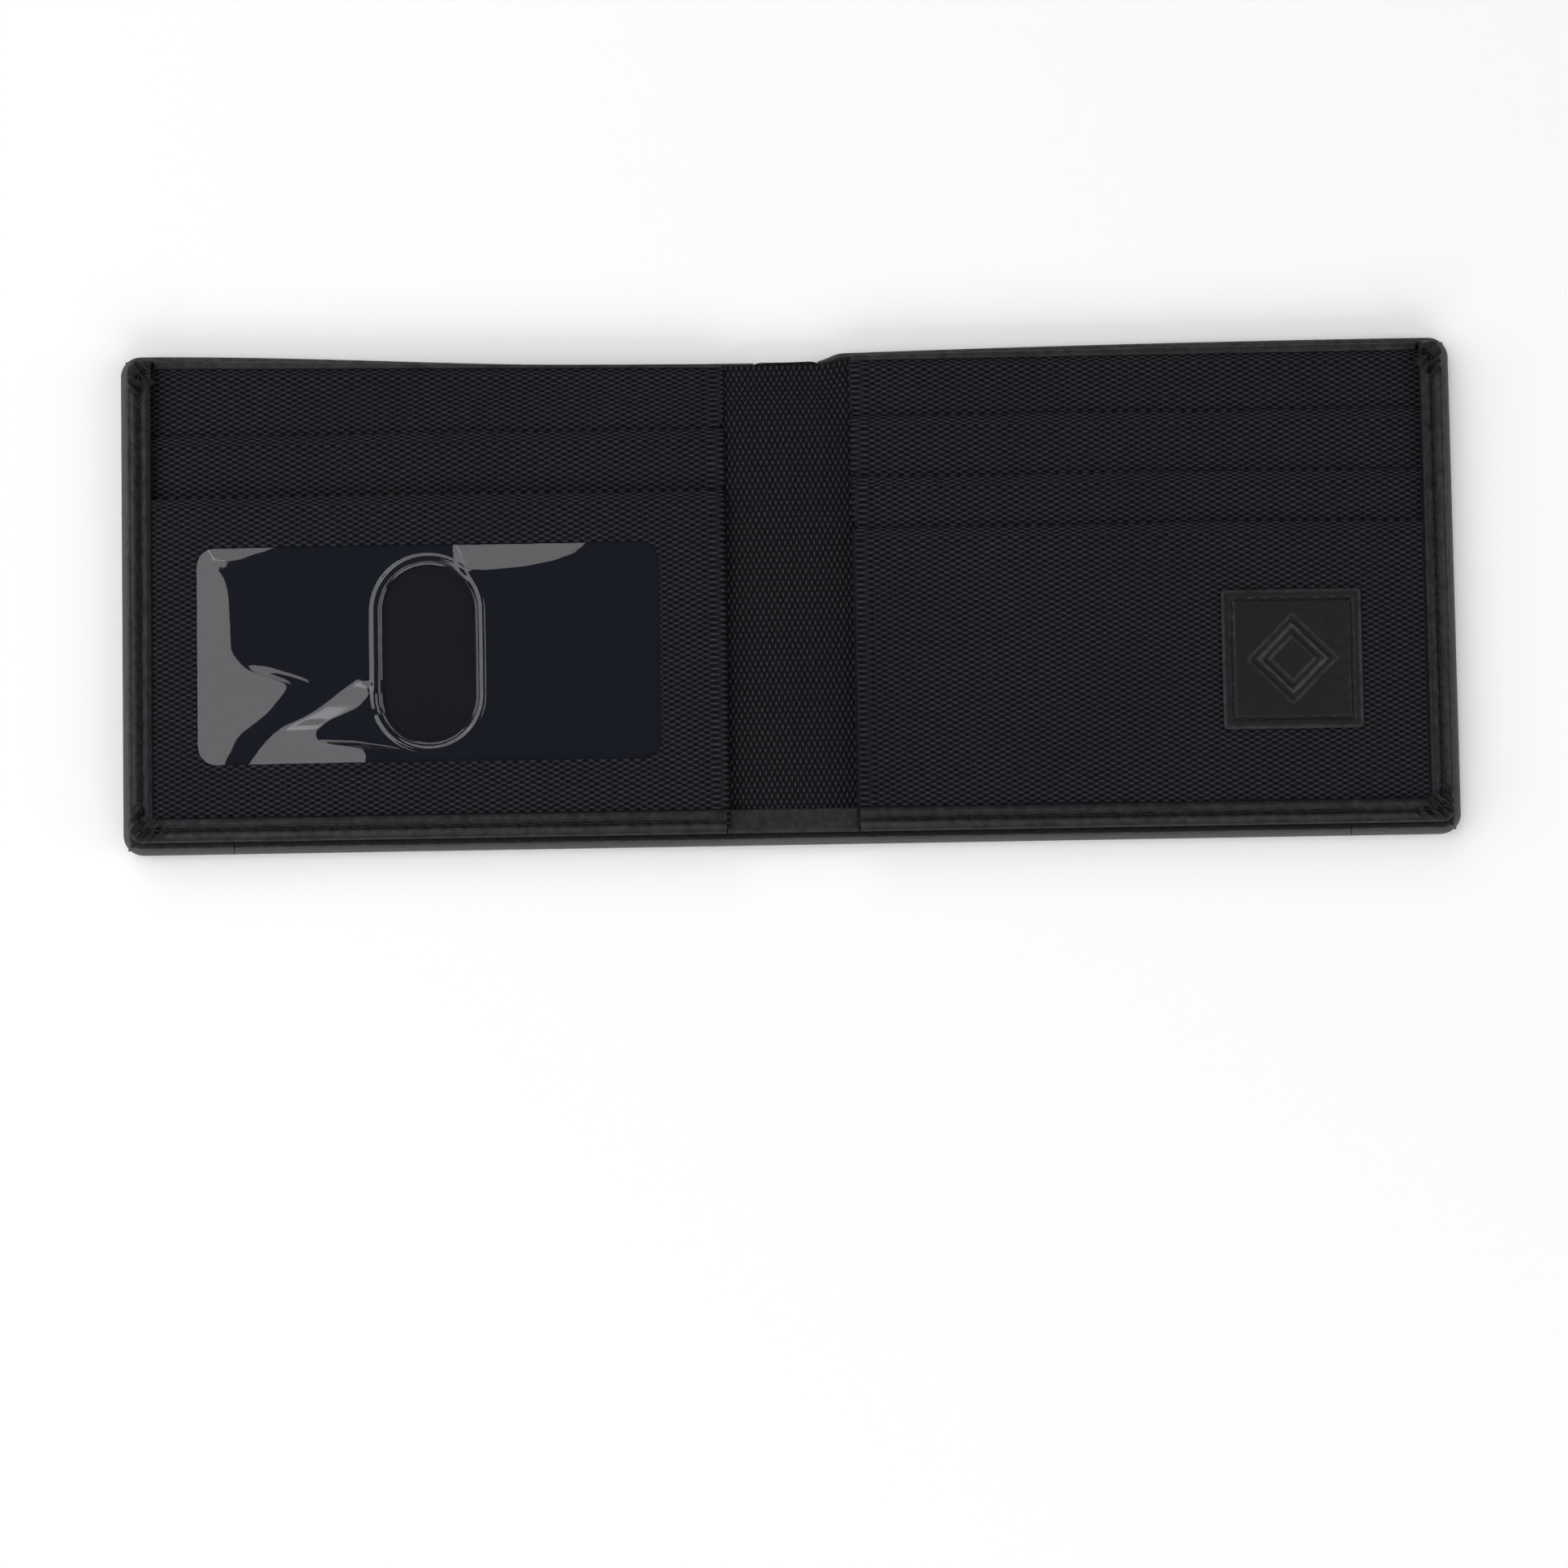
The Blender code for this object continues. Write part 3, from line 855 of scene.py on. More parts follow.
def panel_relief(x, y):
    """How the whole panel swells between its sewn edges. Every sheet of it follows this."""
    x = abs(x)
    held = ease((x - panel_start) / 15) * ease((SEWN_OUT - x) / 9)
    held *= ease((y - SEWN_LOW) / 9) * ease((inner_top - y) / 9)
    soft = 0.26 + 0.17 * ripple(x, y, 27, 2.2) + 0.07 * ripple(x, y, 9, 4.4)
    return held * soft


def spine_edge(y, top, cover):
    """Where a sheet ends beside the spine: further out where it is seen than under another."""
    seen = ease((y - cover) / 1.2) if cover is not None else 1.0
    return panel_start - TURN_DOWN * seen + 0.5 * (1 - seen) + 0.07 * ripple(0, y, 4, top)


def cloth_height(x, y, level, top, slack):
    """The upper face of a sheet of the inner leaf, with its hems and its turned-down edge."""
    x = abs(x)
    below = top - y
    height = level + panel_relief(x, y)
    mouth = 0.17 * (1 - ease((below - MOUTH_HEM) / 0.35)) - 0.20 * (1 - ease(below / 0.3))
    mouth -= 0.08 * math.exp(-(((below - MOUTH_HEM - 0.3) / 0.3) ** 2))
    sag = 0.5 + 0.5 * ripple(x, top, 19, 6.6)
    share = min(max((x - panel_start) / (SLACK_OUT - panel_start), 0), 1)
    lift = slack * sag * (1 - ease(below / 6.5)) * math.sin(math.pi * share)
    height += mouth + lift
    out = x - (panel_start - TURN_DOWN)
    beside_hem = 0.10 * math.exp(-(((out - SIDE_HEM - 0.35) / 0.3) ** 2))
    height += 0.13 * (1 - ease((out - SIDE_HEM) / 0.4)) - beside_hem
    if out < EDGE_FOLD:
        down = 1 - math.sqrt(max(1 - ((EDGE_FOLD - out) / EDGE_FOLD) ** 2, 0))
        height -= down * max(height - divider_high.z - 0.45, 0)
    return height


def mouth_drift(x, below, reach, seed):
    """How far a sheet's mouth has moved up or down in the sewing. Its lower part has not."""
    drift = 0.28 * ripple(x, seed, 31, seed) + 0.10 * ripple(x, seed, 6, seed)
    return (1 - ease(below / reach)) * drift


def cut_from(top, seed):
    """Which part of the cloth a sheet was cut from. Its yarns are crowded together in its hems."""

    def pattern(x, y):
        out = abs(x) - (panel_start - TURN_DOWN)
        crowd_x = 0.5 * min(out - SIDE_HEM, 0)
        crowd_y = 0.45 * min(top - y - MOUTH_HEM, 0)
        return (
            x + math.copysign(crowd_x, x) + 3.17 * seed,
            y - crowd_y + 1.31 * seed + 0.015 * (x if x > 0 else 0),
        )

    return pattern


def pocket_place(side, level, low, top, cover, slack, seed):
    """How laid() places a pocket's sheet, and its numbers of columns and rows."""
    outs = lines(0, SHEET_END - panel_start + TURN_DOWN, 1.25, (0, SIDE_HEM), 0.16, 1.0)
    ys = lines(low, top, 1.25, (top, top - MOUTH_HEM), 0.17, 0.7)
    whole = outs[-1]

    def place(column, row):
        y = ys[row]
        start = spine_edge(y, top, cover)
        x = start + outs[column] * (SHEET_END - start) / whole
        moved = y + mouth_drift(x, top - y, 8, seed)
        return side * x, moved, cloth_height(x, y, level, top, slack)

    return place, len(outs) - 1, len(ys) - 1


def pocket(name, node, side, cover, slack, seed, material=woven):
    """A pocket's sheet in the place of its CAD piece. cover is the mouth of the next one up."""
    low, high = span(node)
    place, columns, rows = pocket_place(side, high.z, low.y, high.y, cover, slack, seed)
    back = min(SHEET_BACK, high.z - low.z)
    cut = cut_from(high.y, seed)
    piece = laid(name, columns, rows, place, (0, 0, 1), back, material, cut)
    word = "left" if side < 0 else "right"
    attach(piece, f"{word}_panel")
    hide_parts(node)
    return piece


left_slot = span("left_card_pocket")[1].y
id_mouth = span("id_window_frame")[1].y
pocket("left_pocket_back_cloth", "left_pocket_back", -1, left_slot, slack=0.0, seed=1.3)
pocket("left_card_pocket_cloth", "left_card_pocket", -1, id_mouth, LEFT_SLACK, seed=2.3)

right_slots = [span(f"right_card_pocket_{word}")[1].y for word in ("upper", "middle", "lower")]
pocket("right_pocket_back_cloth", "right_pocket_back", 1, right_slots[0], slack=0.0, seed=3.3)
for index, word in enumerate(("upper", "middle", "lower")):
    cover = right_slots[index + 1] if index < 2 else None
    name = f"right_card_pocket_{word}"
    pocket(name + "_cloth", name, 1, cover, RIGHT_SLACK, seed=4.3 + index)


# Identity card pocket -----------------------------------------------------------------------------
# Smooth dark cloth lines it, and a sheet of clear film in front has a hole for the thumb, with
# a moulded bead round it. The woven front has a window with heat-cut corners, pressed flat.

smooth_cloth = Finish("smooth_cloth")
place = smooth_cloth.place()
clouds = smooth_cloth.noise(place, 60.0, 3.0)
threads = smooth_cloth.noise(place, 3800.0, 2.0)
smooth_cloth.shade(
    Base_Color=smooth_cloth.mix(
        0.7 * clouds + 0.3 * threads, (0.0014, 0.0012, 0.0042, 1), (0.0058, 0.0053, 0.0118, 1)
    ),
    Roughness=0.6,
    Specular_IOR_Level=0.12,
    Normal=smooth_cloth.bump(threads, 0.00005),
)

pocket(
    "id_pocket_lining",
    "id_pocket_backing",
    -1,
    cover=id_mouth - 2,
    slack=0.0,
    seed=5.1,
    material=smooth_cloth.material,
)

WINDOW_CORNER = 3.2
WINDOW_LEFT, WINDOW_RIGHT = -98.8, -21.7
WINDOW_LOW, WINDOW_HIGH = -27.3, 9.0
PRESSED = 1.6  # width of the flattened band round the window
frame_low, frame_high = span("id_window_frame")
FILM_Z = span("id_window_film")[1].z


def window_outline(across=96, along=46):
    """The window's rounded outline, with the way out from each of its points."""
    corners = []
    for corner_x, corner_y, start in (
        (WINDOW_RIGHT - WINDOW_CORNER, WINDOW_LOW + WINDOW_CORNER, -90),
        (WINDOW_RIGHT - WINDOW_CORNER, WINDOW_HIGH - WINDOW_CORNER, 0),
        (WINDOW_LEFT + WINDOW_CORNER, WINDOW_HIGH - WINDOW_CORNER, 90),
        (WINDOW_LEFT + WINDOW_CORNER, WINDOW_LOW + WINDOW_CORNER, 180),
    ):
        turns = [math.radians(start + 90 * index / 8) for index in range(9)]
        ways = [Vector((math.cos(turn), math.sin(turn))) for turn in turns]
        centre = Vector((corner_x, corner_y))
        corners.append([(centre + WINDOW_CORNER * way, way) for way in ways])
    outline = []
    followers = corners[1:] + corners[:1]
    for corner, follower, steps in zip(corners, followers, (along, across, along, across)):
        (start, way), (stop, _) = corner[-1], follower[0]
        outline += corner
        outline += [(start.lerp(stop, step / steps), way) for step in range(1, steps)]
    return outline


def rim_of(outline, low, high):
    """The point of a rectangle's edge that goes with each point of a rounded outline inside it."""
    middle = (Vector(low) + Vector(high)) / 2
    half = (Vector(high) - Vector(low)) / 2
    inner_half = Vector((WINDOW_RIGHT - WINDOW_LEFT, WINDOW_HIGH - WINDOW_LOW)) / 2
    centre = Vector((WINDOW_LEFT + WINDOW_RIGHT, WINDOW_LOW + WINDOW_HIGH)) / 2
    rim = []
    for point, _ in outline:
        away = point - centre
        u, v = away.x / inner_half.x, away.y / inner_half.y
        biggest = max(abs(u), abs(v))
        rim.append(middle + Vector((u / biggest * half.x, v / biggest * half.y)))
    return rim


def clamp_in(point, low, high, depth):
    """The point, moved to at least that depth inside a rectangle."""
    return Vector(
        (
            min(max(point.x, low[0] + depth), high[0] - depth),
            min(max(point.y, low[1] + depth), high[1] - depth),
        )
    )


def beside(y, marks, soft):
    """The x at height y on a wandering line through (y, x) marks, its corners softened."""
    total = 0
    for shift in (-1, -0.5, 0, 0.5, 1):
        at = min(max(y + shift * soft, marks[0][0]), marks[-1][0])
        for (y0, x0), (y1, x1) in zip(marks, marks[1:]):
            if at <= y1:
                total += x0 + (x1 - x0) * (at - y0) / (y1 - y0)
                break
    return total / 5


def crease_up(at, foot, crest, gap, slope):
    """A fold of the film that climbs evenly from its foot to its crest and then falls away."""
    climb = slope * (at - foot)
    fall = slope * (crest - foot) * (1 - (at - crest) / gap)
    lower = (climb + fall - math.sqrt((climb - fall) ** 2 + 0.0016)) / 2
    return (lower + math.sqrt(lower * lower + 0.0004)) / 2


# The folds' edges, as a place for each height above the lower seam: the left one's crest, and
# the claw-shaped one's foot and crest.
LEFT_FOLD = (
    (-27.3, -93.9), (-22.9, -92.0), (-19.0, -86.6), (-16.5, -84.6), (-14.2, -82.8),
    (-13.0, -85.0), (-11.5, -90.2), (-8.5, -92.8), (1.0, -93.2), (4.0, -94.2),
    (7.0, -98.8), (12, -98.8),
)
CLAW_FOOT = (
    (-31.0, -91.4), (-27.3, -91.2), (-23.5, -87.0), (-21.5, -85.0), (-19.5, -80.5),
    (-17.5, -77.5), (-14.7, -74.0), (-13.4, -72.0), (12, -72.0),
)
CLAW_CREST = (
    (-31.0, -70.5), (-26.0, -70.3), (-24.8, -71.4), (-24.0, -78.2), (-22.2, -79.0),
    (-20.3, -77.0), (-18.3, -72.0), (-16.0, -70.0), (-14.4, -70.6), (-13.4, -72.0),
    (12, -72.0),
)
# How far two more folds reach down from the window's top edge, by their place along it.
TOP_FOLDS = (
    (-99, 0.0), (-97.2, 0.0), (-96.0, 2.4), (-93.0, 2.9), (-91.0, 2.6), (-89.0, 1.6),
    (-87.0, 1.1), (-84.5, 0.0), (-55.6, 0.0), (-53.6, 4.9), (-50.0, 5.0), (-44.0, 4.5),
    (-39.0, 3.6), (-35.0, 2.2), (-32.6, 0.0), (-10, 0.0),
)


def film_height(x, y):
    """Vinyl that has taken a set: flat, but for folds at its lower left and its top edge."""
    held = 0.68 + 0.32 * ease((y - WINDOW_LOW) / 3)
    held *= ease((y - WINDOW_LOW + 1.8) / 1.8)
    wave = crease_up(x, WINDOW_LEFT, beside(y, LEFT_FOLD, 0.7), gap=4.0, slope=0.066)
    foot, crest = beside(y, CLAW_FOOT, 0.6), beside(y, CLAW_CREST, 0.4)
    wave += crease_up(x, foot, crest, gap=6.0, slope=0.096)
    reach = beside(x, TOP_FOLDS, 0.5)
    drop = crease_up(WINDOW_HIGH + 0.2 - y, 0, reach, gap=12, slope=0.2)
    return FILM_Z + held * wave + drop + 0.03 * ripple(x, y, 11, 3.9)


# Rings of the front's mesh, by how far they lie from the window, then from its own outer edge.
NEAR_RINGS = (0.0, 0.12, 0.3, 0.6, 1.0, 1.35, 1.6, 1.85, 2.2, 2.8)
FAR_RINGS = (
    4.6, 3.9, 3.5, 3.3, 3.1, 2.8, 2.2, 1.9, 1.7, 1.5, 1.2, 0.8, 0.55, 0.4, 0.25, 0.12, 0.0,
)
BETWEEN = 5  # more rings between the two sets
RING_COUNT = len(NEAR_RINGS) + BETWEEN + len(FAR_RINGS)

outline = window_outline()
frame_outer_low = (frame_low.x, frame_low.y)
frame_outer_high = (-(panel_start - TURN_DOWN), frame_high.y)
frame_rim = rim_of(outline, frame_outer_low, frame_outer_high)


def frame_place(column, row):
    """Columns run round the window, and rows from the window out to the front's own edge."""
    column %= len(outline)
    point, way = outline[column]
    if row < len(NEAR_RINGS):
        spot = point + way * NEAR_RINGS[row]
    else:
        inner = point + way * NEAR_RINGS[-1]
        outer = clamp_in(frame_rim[column], frame_outer_low, frame_outer_high, FAR_RINGS[0])
        step = row - len(NEAR_RINGS) + 1
        if step <= BETWEEN:
            spot = inner.lerp(outer, step / (BETWEEN + 1))
        else:
            depth = FAR_RINGS[step - BETWEEN - 1]
            spot = clamp_in(frame_rim[column], frame_outer_low, frame_outer_high, depth)
    x, y = spot
    height = cloth_height(x, y, frame_high.z, frame_high.y, LEFT_SLACK)
    if row < len(NEAR_RINGS):
        away = NEAR_RINGS[row]
        height -= 0.17 * (1 - ease((away - PRESSED) / 0.35))
        height -= 0.10 * (1 - ease(away / 0.25))
        height = max(height, film_height(x, y) + SHEET_BACK + 0.04)
        frayed = 0.07 * ripple(x * 3, y * 3, 1.0, 7.7) * (1 - away / NEAR_RINGS[-1])
        x, y = x + way.x * frayed, y + way.y * frayed
    return x, y + mouth_drift(abs(x), frame_high.y - y, 7, 5.3), height


window_frame = laid(
    "id_window_front",
    len(outline),
    RING_COUNT - 1,
    frame_place,
    (0, 0, 1),
    SHEET_BACK,
    woven,
    cut_from(frame_high.y, 2.9),
)
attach(window_frame, "left_panel")
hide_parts("id_window_frame")

film = Finish("clear_film")
smears = film.noise(film.place(), 130.0, 4.0)
film.shade(
    Base_Color=(0.0088, 0.0108, 0.0200, 1),
    Roughness=0.03 + 0.04 * smears,
    Specular_IOR_Level=1.0,
    Coat_Weight=0.6,
    Coat_Roughness=0.04,
    Alpha=0.42,
)

THUMB = Vector(((WINDOW_LEFT + WINDOW_RIGHT) / 2, (WINDOW_LOW + WINDOW_HIGH) / 2))
THUMB_HALF_WIDTH = 7.7
THUMB_HALF_LENGTH = 14.75
BEAD = 2.1  # width of the moulded bead round the thumb hole
FILM_UNDER = 3.2  # how far the film reaches under the woven front
FILM = 0.18  # its thickness
FILM_POINTS = 400
BEAD_RINGS = 14


def thumb_outline(count):
    """The thumb hole's outline, a slot with round ends, sampled by angle from its middle."""
    straight = THUMB_HALF_LENGTH - THUMB_HALF_WIDTH
    outline = []
    for index in range(count):
        turn = 2 * math.pi * index / count
        ray = Vector((math.cos(turn), math.sin(turn)))
        if abs(ray.y) * THUMB_HALF_WIDTH <= straight * abs(ray.x):
            point = ray * (THUMB_HALF_WIDTH / abs(ray.x))
            way = Vector((math.copysign(1, ray.x), 0))
        else:
            centre = Vector((0, math.copysign(straight, ray.y)))
            along = ray.dot(centre)
            reach = along + math.sqrt(along**2 - centre.length**2 + THUMB_HALF_WIDTH**2)
            point = ray * reach
            way = (point - centre).normalized()
        outline.append((THUMB + point, way, ray))
    return outline


def film_edge(ray):
    """Where a ray from the thumb hole's middle meets the film's edge under the front."""
    reaches = []
    for part, middle, low, high in (
        (ray.x, THUMB.x, WINDOW_LEFT, WINDOW_RIGHT),
        (ray.y, THUMB.y, WINDOW_LOW, WINDOW_HIGH),
    ):
        if part:
            edge = (high if part > 0 else low) + math.copysign(FILM_UNDER, part)
            reaches.append((edge - middle) / part)
    return THUMB + ray * min(reaches)


thumb_line = thumb_outline(FILM_POINTS)
bead_depths = [BEAD * index / BEAD_RINGS for index in range(BEAD_RINGS + 1)]
film_between = lines(0, 1, 0.0125)[1:]


def film_place(column, row):
    """Columns run round the thumb hole, and rows from it over its bead and out."""
    point, way, ray = thumb_line[column % FILM_POINTS]
    if row <= BEAD_RINGS:
        spot = point + way * bead_depths[row]
        share = row / BEAD_RINGS
        ridge = 0.20 * math.sin(math.pi * min(share / 0.26, 1)) ** 2 if share < 0.26 else 0.0
        ridge += 0.17 * math.sin(math.pi * max(share - 0.3, 0) / 0.7) ** 2
    else:
        start = point + way * BEAD
        spot = start.lerp(film_edge(ray), film_between[row - BEAD_RINGS - 1])
        ridge = 0.0
    return spot.x, spot.y, film_height(*spot) + ridge


clear = laid(
    "id_window_clear_film",
    FILM_POINTS,
    BEAD_RINGS + len(film_between),
    film_place,
    (0, 0, 1),
    FILM,
    material=film.material,
)
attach(clear, "left_panel")
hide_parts("id_window_film")


# Leather patch ------------------------------------------------------------------------------------
# A square of smooth leather is stitched to the lowest right pocket. A plain diamond of two
# lines is pressed into its middle.

patch_low, patch_high = span("leather_patch")
PATCH_MIDDLE = (patch_low + patch_high) / 2
PATCH_HALF = (patch_high.x - patch_low.x) / 2
PATCH_SEAM = 1.75
PATCH_PITCH = 2.75
PATCH_CORNER = 0.9
PATCH_BACK = 0.42  # its thickness
DIAMOND, DIAMOND_INNER = 6.6, 4.6  # from the middle to each line's points
LINE = 0.27

smooth_leather = leather("smooth_leather", light=1.1, pebble=0.35, roughness=0.42)


def patch_place(column, row):
    """The patch's face, with rounded corners, sunk where it is sewn and where it is pressed."""
    x, y = patch_lines[column], patch_lines[row]
    edge = PATCH_HALF - max(abs(x), abs(y))
    past_x, past_y = (abs(at) - PATCH_HALF + PATCH_CORNER for at in (x, y))
    far = math.hypot(max(past_x, 0), max(past_y, 0))
    if far > PATCH_CORNER:
        x = math.copysign(PATCH_HALF - PATCH_CORNER + past_x * PATCH_CORNER / far, x)
        y = math.copysign(PATCH_HALF - PATCH_CORNER + past_y * PATCH_CORNER / far, y)
    height = patch_high.z + 0.10 * ease(edge / 6)
    height -= 0.26 * (1 - math.sqrt(max(1 - max(1 - edge / 0.5, 0) ** 2, 0)))
    along = y if abs(x) > abs(y) else x
    dive = (1 - math.cos(2 * math.pi * along / PATCH_PITCH)) / 2
    height -= groove(edge - PATCH_SEAM, 0.30, 0.17 + 0.10 * dive)
    spread = abs(x) + abs(y)
    for size in (DIAMOND, DIAMOND_INNER):
        height -= groove((spread - size) / math.sqrt(2), LINE, 0.26)
    if spread < DIAMOND_INNER:
        height += 0.10 * ease((DIAMOND_INNER - spread) / 1.5)
    at = PATCH_MIDDLE.x + x, PATCH_MIDDLE.y + y
    height += 0.03 * ripple(*at, 3.0, 1.7) + panel_relief(*at)
    return *at, height


patch_seams = (-PATCH_HALF + PATCH_SEAM, PATCH_HALF - PATCH_SEAM)
patch_marks = (-PATCH_HALF, *patch_seams, PATCH_HALF)
patch_lines = lines(-PATCH_HALF, PATCH_HALF, 0.3, patch_marks, 0.14, 0.6)
patch = laid(
    "smooth_leather_patch",
    len(patch_lines) - 1,
    len(patch_lines) - 1,
    patch_place,
    (0, 0, 1),
    PATCH_BACK,
    material=smooth_leather,
)


def patch_wear_and_light(x, y, z):
    """Painted shade darkens the pressed lines and the seam, and a painted highlight lightens the
    leather that stands up beside the lines. The rounded edge is paler.
    """
    across, up = abs(x - PATCH_MIDDLE.x), abs(y - PATCH_MIDDLE.y)
    edge = PATCH_HALF - max(across, up)
    lines_near = [(across + up - size) / math.sqrt(2) for size in (DIAMOND, DIAMOND_INNER)]
    dark = sum(math.exp(-((near / LINE) ** 2)) for near in lines_near)
    dark += math.exp(-(((edge - PATCH_SEAM) / 0.35) ** 2))
    rubbed_and_lit = sum(math.exp(-(((abs(near) - 0.62) / 0.2) ** 2)) for near in lines_near)
    rubbed_and_lit += 0.6 * math.exp(-(((edge - 0.35) / 0.3) ** 2))
    return 0.12 + 0.38 * rubbed_and_lit - 1.4 * dark


wear_and_light_at(patch, patch_wear_and_light)
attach(patch, "right_panel")
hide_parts("leather_patch")


# Inner binding ------------------------------------------------------------------------------------
# Soft leather strip folded over the inner leaf's edge and sewn down its middle, so that it
# puffs into a ridge on each side of the stitches. It is gathered into pleats at the corners.

INNER_CORNER = 2.0
binding_low, binding_high = span("edge_binding_right")
BINDING = binding_high.x - binding_low.x
INNER_HALF, INNER_TOP, INNER_BOTTOM = binding_high.x, binding_high.y, binding_low.y
BINDING_FOOT = binding_low.z
BINDING_BACK = 0.4  # its thickness
SEAM_IN = 2.0  # from the edge to the row of stitches
RIDGES_IN = (1.05, 3.0)  # and to the ridges on each side of them
OVERLAP_AT = 93.0  # where the strip's end laps over its start
binding_leather = leather("binding_leather", light=0.86, pebble=0.7, roughness=0.47)


def binding_section():
    """From the foot of the binding's outer wall, over its top, to its inner edge."""
    top = binding_high.z - 0.12
    wall = [(0.0, BINDING_FOOT), (0.0, BINDING_FOOT + 1.2), (0.0, top - 1.6), (0.0, top - 0.9)]
    over = arc(0.85, top - 0.85, 0.85, 0, 90, 5)
    depths = [1.05, 1.3, 1.5, 1.65, 1.8, 1.9, 2.0, 2.1, 2.2, 2.35, 2.5, 2.75, 3.0, 3.3]
    flat = [(depth, top) for depth in depths]
    edge = [(3.6, top - 0.04), (3.82, top - 0.16), (3.95, top - 0.34), (4.0, top - 0.5)]
    return wall + over[1:] + flat + edge


def pleats(x, y, seed):
    """Short ridges that lie side by side across a corner, from 0 to 1, and where they are."""
    out_x = abs(x) - (INNER_HALF - BINDING / 2)
    out_y = y - (INNER_TOP - BINDING / 2) if y > 0 else INNER_BOTTOM + BINDING / 2 - y
    aside = (out_x - out_y) / math.sqrt(2) + 0.55 * ripple(x, y, 2.2, seed)
    along = (out_x + out_y) / math.sqrt(2)
    fan = ease((3.9 - abs(aside)) / 1.3) * ease((along + 3.4) / 1.0) * ease((1.7 - along) / 0.8)
    wave = 0.5 + 0.5 * math.cos(2 * math.pi * aside / 1.3)
    return fan * wave**1.4 * (0.75 + 0.45 * ripple(x, y, 1.1, seed + 3)), fan


def binding_height(x, y, z, depth, seed):
    """The binding's ridges, seam, pleats and wrinkles. Only its top is changed."""
    on_top = ease((z - binding_high.z + 1.4) / 0.9)
    along = x if INNER_BOTTOM + BINDING + 1 > y and abs(x) < INNER_HALF - BINDING else y
    height = z
    for ridge_in, width in zip(RIDGES_IN, (0.55, 0.5)):
        height += on_top * 0.10 * math.exp(-(((depth - ridge_in) / width) ** 2))
    height -= on_top * groove(depth - SEAM_IN, 0.34, 0.24 + 0.10 * stitch_wave(along))
    cross = 0.11 * ripple(along, depth * 0.3, 0.75, seed)
    cross += 0.13 * ripple(along * 0.5, depth * 0.5, 1.3, seed + 4)
    pinch = stitch_wave(along) ** 6 * math.exp(-(((depth - SEAM_IN) / 0.85) ** 2))
    height += on_top * (cross - 0.16 * pinch)
    ridge, fan = pleats(x, y, seed)
    height += on_top * (0.62 * ridge - 0.34 * fan)
    lapped = ease((abs(x) - OVERLAP_AT) / 0.35) * ease((INNER_HALF - 3 - abs(x)) / 3)
    if y < 0 and x > 0:
        height += on_top * 0.16 * lapped
        height -= on_top * groove(abs(x) - OVERLAP_AT + 0.15, 0.22, 0.16)
    return min(height, binding_high.z + 0.2)


section = binding_section()
binding_path = end_path(
    INNER_HALF,
    INNER_BOTTOM,
    INNER_TOP,
    INNER_CORNER,
    (INNER_HALF - BINDING, panel_start),
    0.42,
    fine=0.17,
    reach=5.5,
)


def binding_wear_and_light(x, y, z):
    """The ridges and the pleats' crests are paler, partly rubbed and partly a painted highlight.
    Painted shade darkens the seam between the ridges and the folds between the pleats.
    """
    edge = min(INNER_HALF - abs(x), INNER_TOP - abs(y) if y > 0 else y - INNER_BOTTOM)
    ridge = math.exp(-(((edge - 1.0) / 0.5) ** 2)) + 0.7 * math.exp(-(((edge - 3.0) / 0.45) ** 2))
    seam = math.exp(-(((edge - SEAM_IN) / 0.32) ** 2))
    fold, fan = pleats(x, y, 2.0 + math.copysign(1, x))
    if z < binding_high.z - 1.1:
        return 0.1
    return (0.5 * ridge - 1.4 * seam) * (1 - fan) + 1.25 * fold - 0.8 * fan


for side, word in SIDES:

    def place_binding(column, row):
        point, (depth, z) = binding_path[column], section[row]
        x, y = inset(point, INNER_HALF, INNER_BOTTOM, INNER_TOP, INNER_CORNER, depth)
        return side * x, y, binding_height(side * x, y, z, depth, 2.0 + side)

    binding = laid(
        f"inner_binding_{word}",
        len(binding_path) - 1,
        len(section) - 1,
        place_binding,
        (side, 0, 0),
        BINDING_BACK,
        material=binding_leather,
    )
    wear_and_light_at(binding, binding_wear_and_light)
    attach(binding, f"{word}_panel")
    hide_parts(f"edge_binding_{word}", f"edge_binding_bottom_{word}")


# Top trim -----------------------------------------------------------------------------------------
# Over the banknote mouth the inner leaf's edge has only a narrow leather trim, cut thin, and
# folded over the edge of each panel.

TRIM_BACK = 0.35  # its thickness
trim_low, trim_high = span("edge_trim_top_right")
trim_section = (
    [(0.0, trim_low.z), (0.0, trim_high.z - 0.8)]
    + arc(0.6, trim_high.z - 0.6, 0.6, 0, 90, 4)
    + [(0.9, trim_high.z), (1.15, trim_high.z - 0.06), (1.3, trim_high.z - 0.3)]
)
trim_lines = lines(panel_start - 0.3, trim_high.x, 0.8)
for side, word in SIDES:

    def place_trim(column, row):
        depth, z = trim_section[row]
        x = trim_lines[column]
        uneven = 0.09 * ripple(x, depth, 3.1, 6.1 + side) + 0.06 * ripple(x, depth, 1.1, side)
        return side * x, trim_high.y - depth - 0.5 * uneven, z + uneven * ease(z - trim_low.z)

    trim = laid(
        f"top_trim_{word}",
        len(trim_lines) - 1,
        len(trim_section) - 1,
        place_trim,
        (0, 1, 0),
        TRIM_BACK,
        material=binding_leather,
    )
    wear_and_light_at(trim, lambda x, y, z: 0.3)
    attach(trim, f"{word}_panel")
    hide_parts(f"edge_trim_top_{word}")


# Gusset binding -----------------------------------------------------------------------------------
# The binding runs on along the bottom of the gusset, between the two panels. It is flatter
# there.

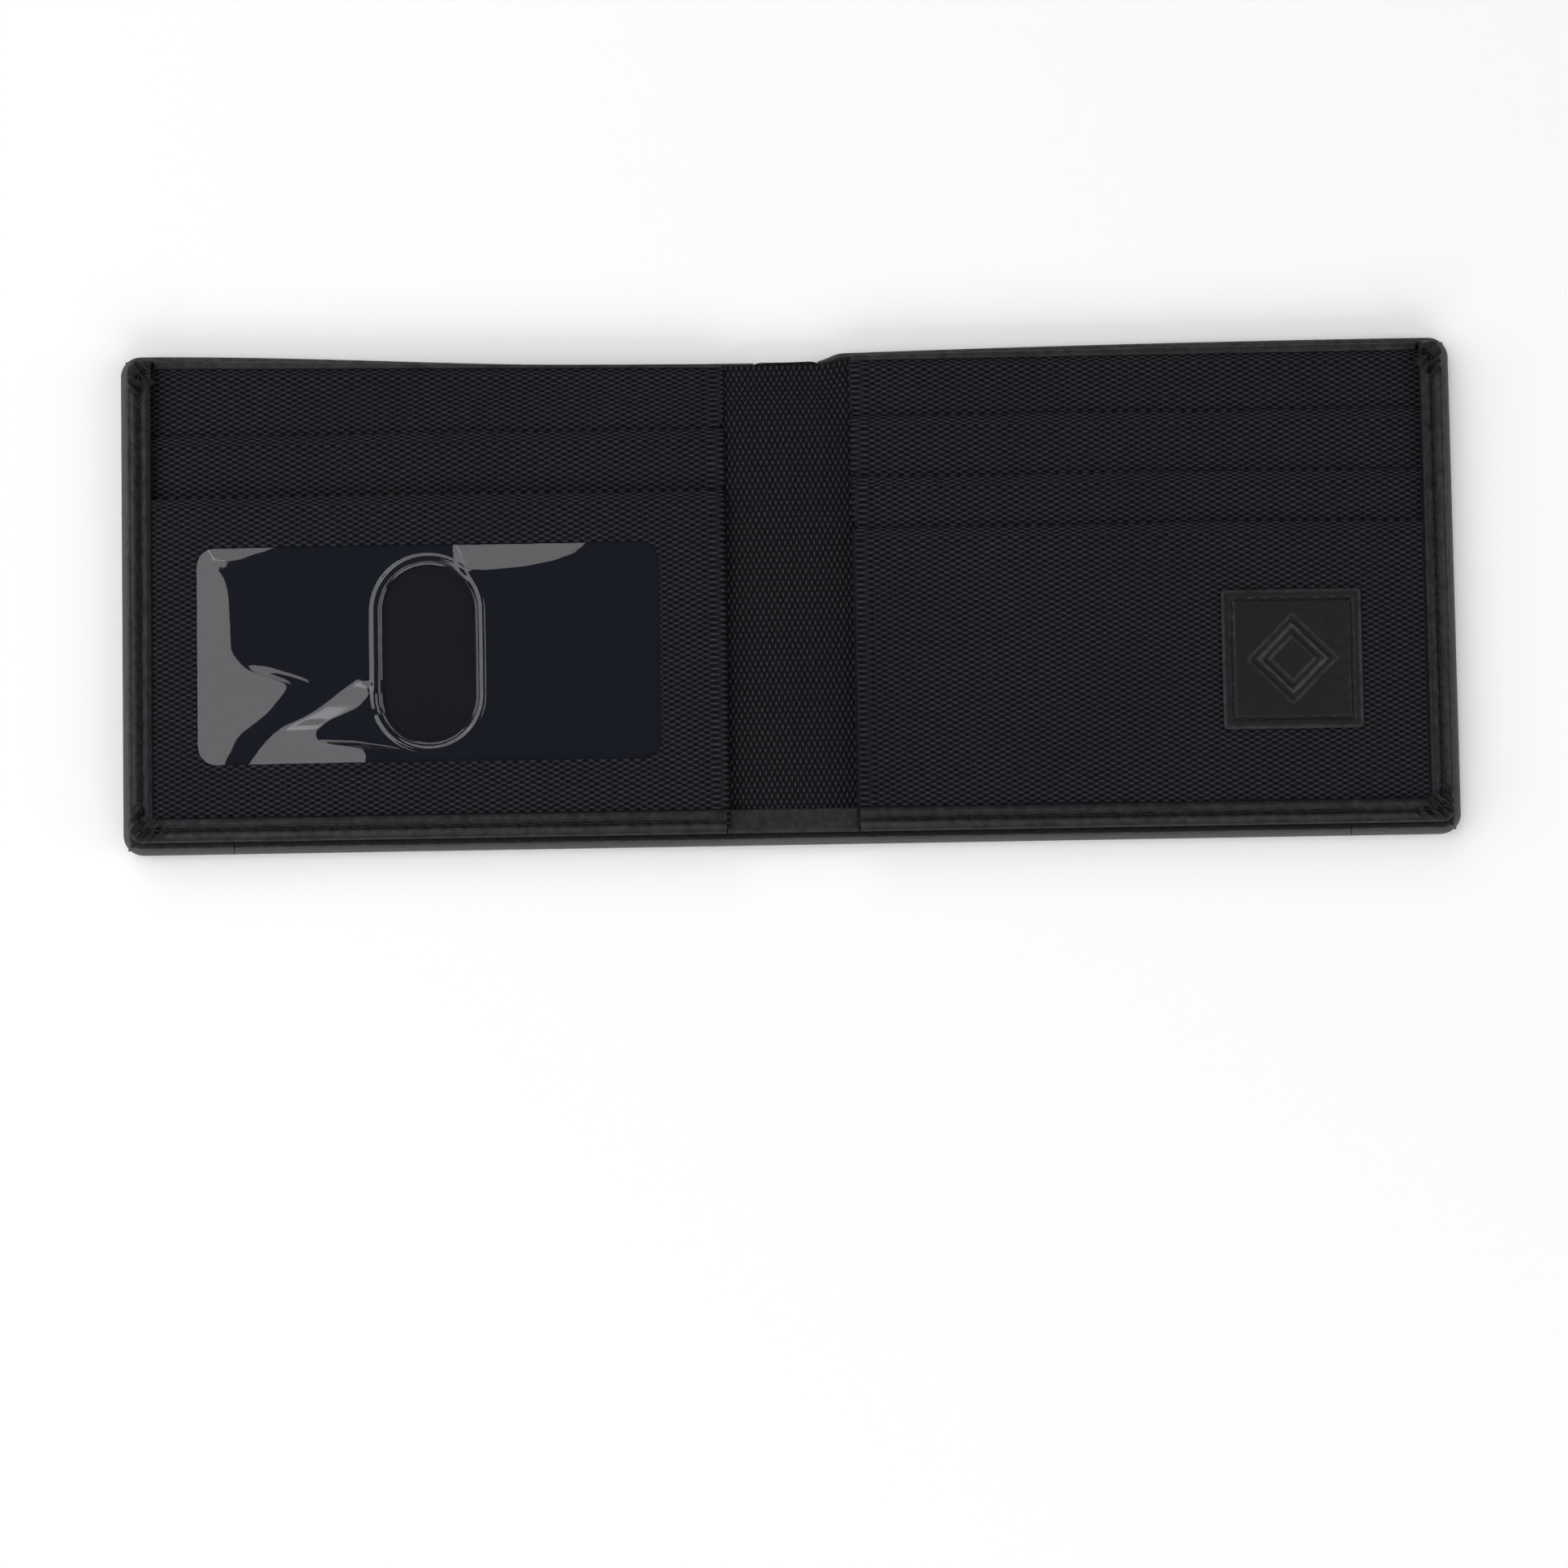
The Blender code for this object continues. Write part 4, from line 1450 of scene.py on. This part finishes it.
gusset_low, gusset_high = span("gusset_binding_right")
gusset_section = (
    [(0.0, gusset_low.z), (0.0, gusset_high.z - 0.8)]
    + arc(0.7, gusset_high.z - 0.7, 0.7, 0, 90, 4)
    + [(depth, gusset_high.z) for depth in (1.2, 1.6, 2.0, 2.4, 2.8, 3.2, 3.6)]
    + [(3.9, gusset_high.z - 0.12), (4.0, gusset_high.z - 0.35)]
)
gusset_lines = lines(0, panel_start - 0.15, 0.45)
for side, word in SIDES:

    def place_gusset_binding(column, row):
        depth, z = gusset_section[row]
        x = gusset_lines[column]
        on_top = ease((z - gusset_high.z + 0.8) / 0.5)
        uneven = 0.10 * ripple(side * x, depth * 0.3, 1.0, 3.6)
        dip = groove(depth - SEAM_IN, 0.4, 0.16 + 0.08 * stitch_wave(x))
        return side * x, gusset_low.y + depth, z + on_top * (uneven - dip)

    edge = laid(
        f"gusset_binding_{word}_half",
        len(gusset_lines) - 1,
        len(gusset_section) - 1,
        place_gusset_binding,
        (0, -1, 0),
        BINDING_BACK,
        material=binding_leather,
    )
    wear_and_light_at(edge, lambda x, y, z: 0.3)
    fold_over(edge, side)
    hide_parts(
        f"gusset_binding_{word}", *(["gusset_binding_spine"] if side < 0 else [])
    )


# Stitches of the inner leaf -----------------------------------------------------------------------
# The same thread holds the inner binding, sunk in its groove, and the patch, along all four
# of its sides.

BINDING_THREAD_Z = binding_high.z - 0.27
PATCH_THREAD_Z = patch_high.z - 0.10

for side, word in SIDES:
    seams = []
    for y in whole_pitches(INNER_BOTTOM + 3.2, INNER_TOP - 1.2):
        seams.append(((side * (INNER_HALF - SEAM_IN), y, BINDING_THREAD_Z), (0, 1)))
    for x in whole_pitches(panel_start, INNER_HALF - 3.2):
        seams.append(((side * x, INNER_BOTTOM + SEAM_IN, BINDING_THREAD_Z), (1, 0)))
    stitches(f"binding_stitches_{word}", seams, f"{word}_panel")

seams = []
reach = PATCH_HALF - PATCH_SEAM
count = int(reach / PATCH_PITCH)
for index in range(-count, count + 1):
    for edge in (-reach, reach):
        for x, y, along in (
            (index * PATCH_PITCH, edge, (1, 0)),
            (edge, index * PATCH_PITCH, (0, 1)),
        ):
            at = PATCH_MIDDLE.x + x, PATCH_MIDDLE.y + y
            seams.append(((*at, PATCH_THREAD_Z + panel_relief(*at)), along))
stitches("patch_stitches", seams, "right_panel")
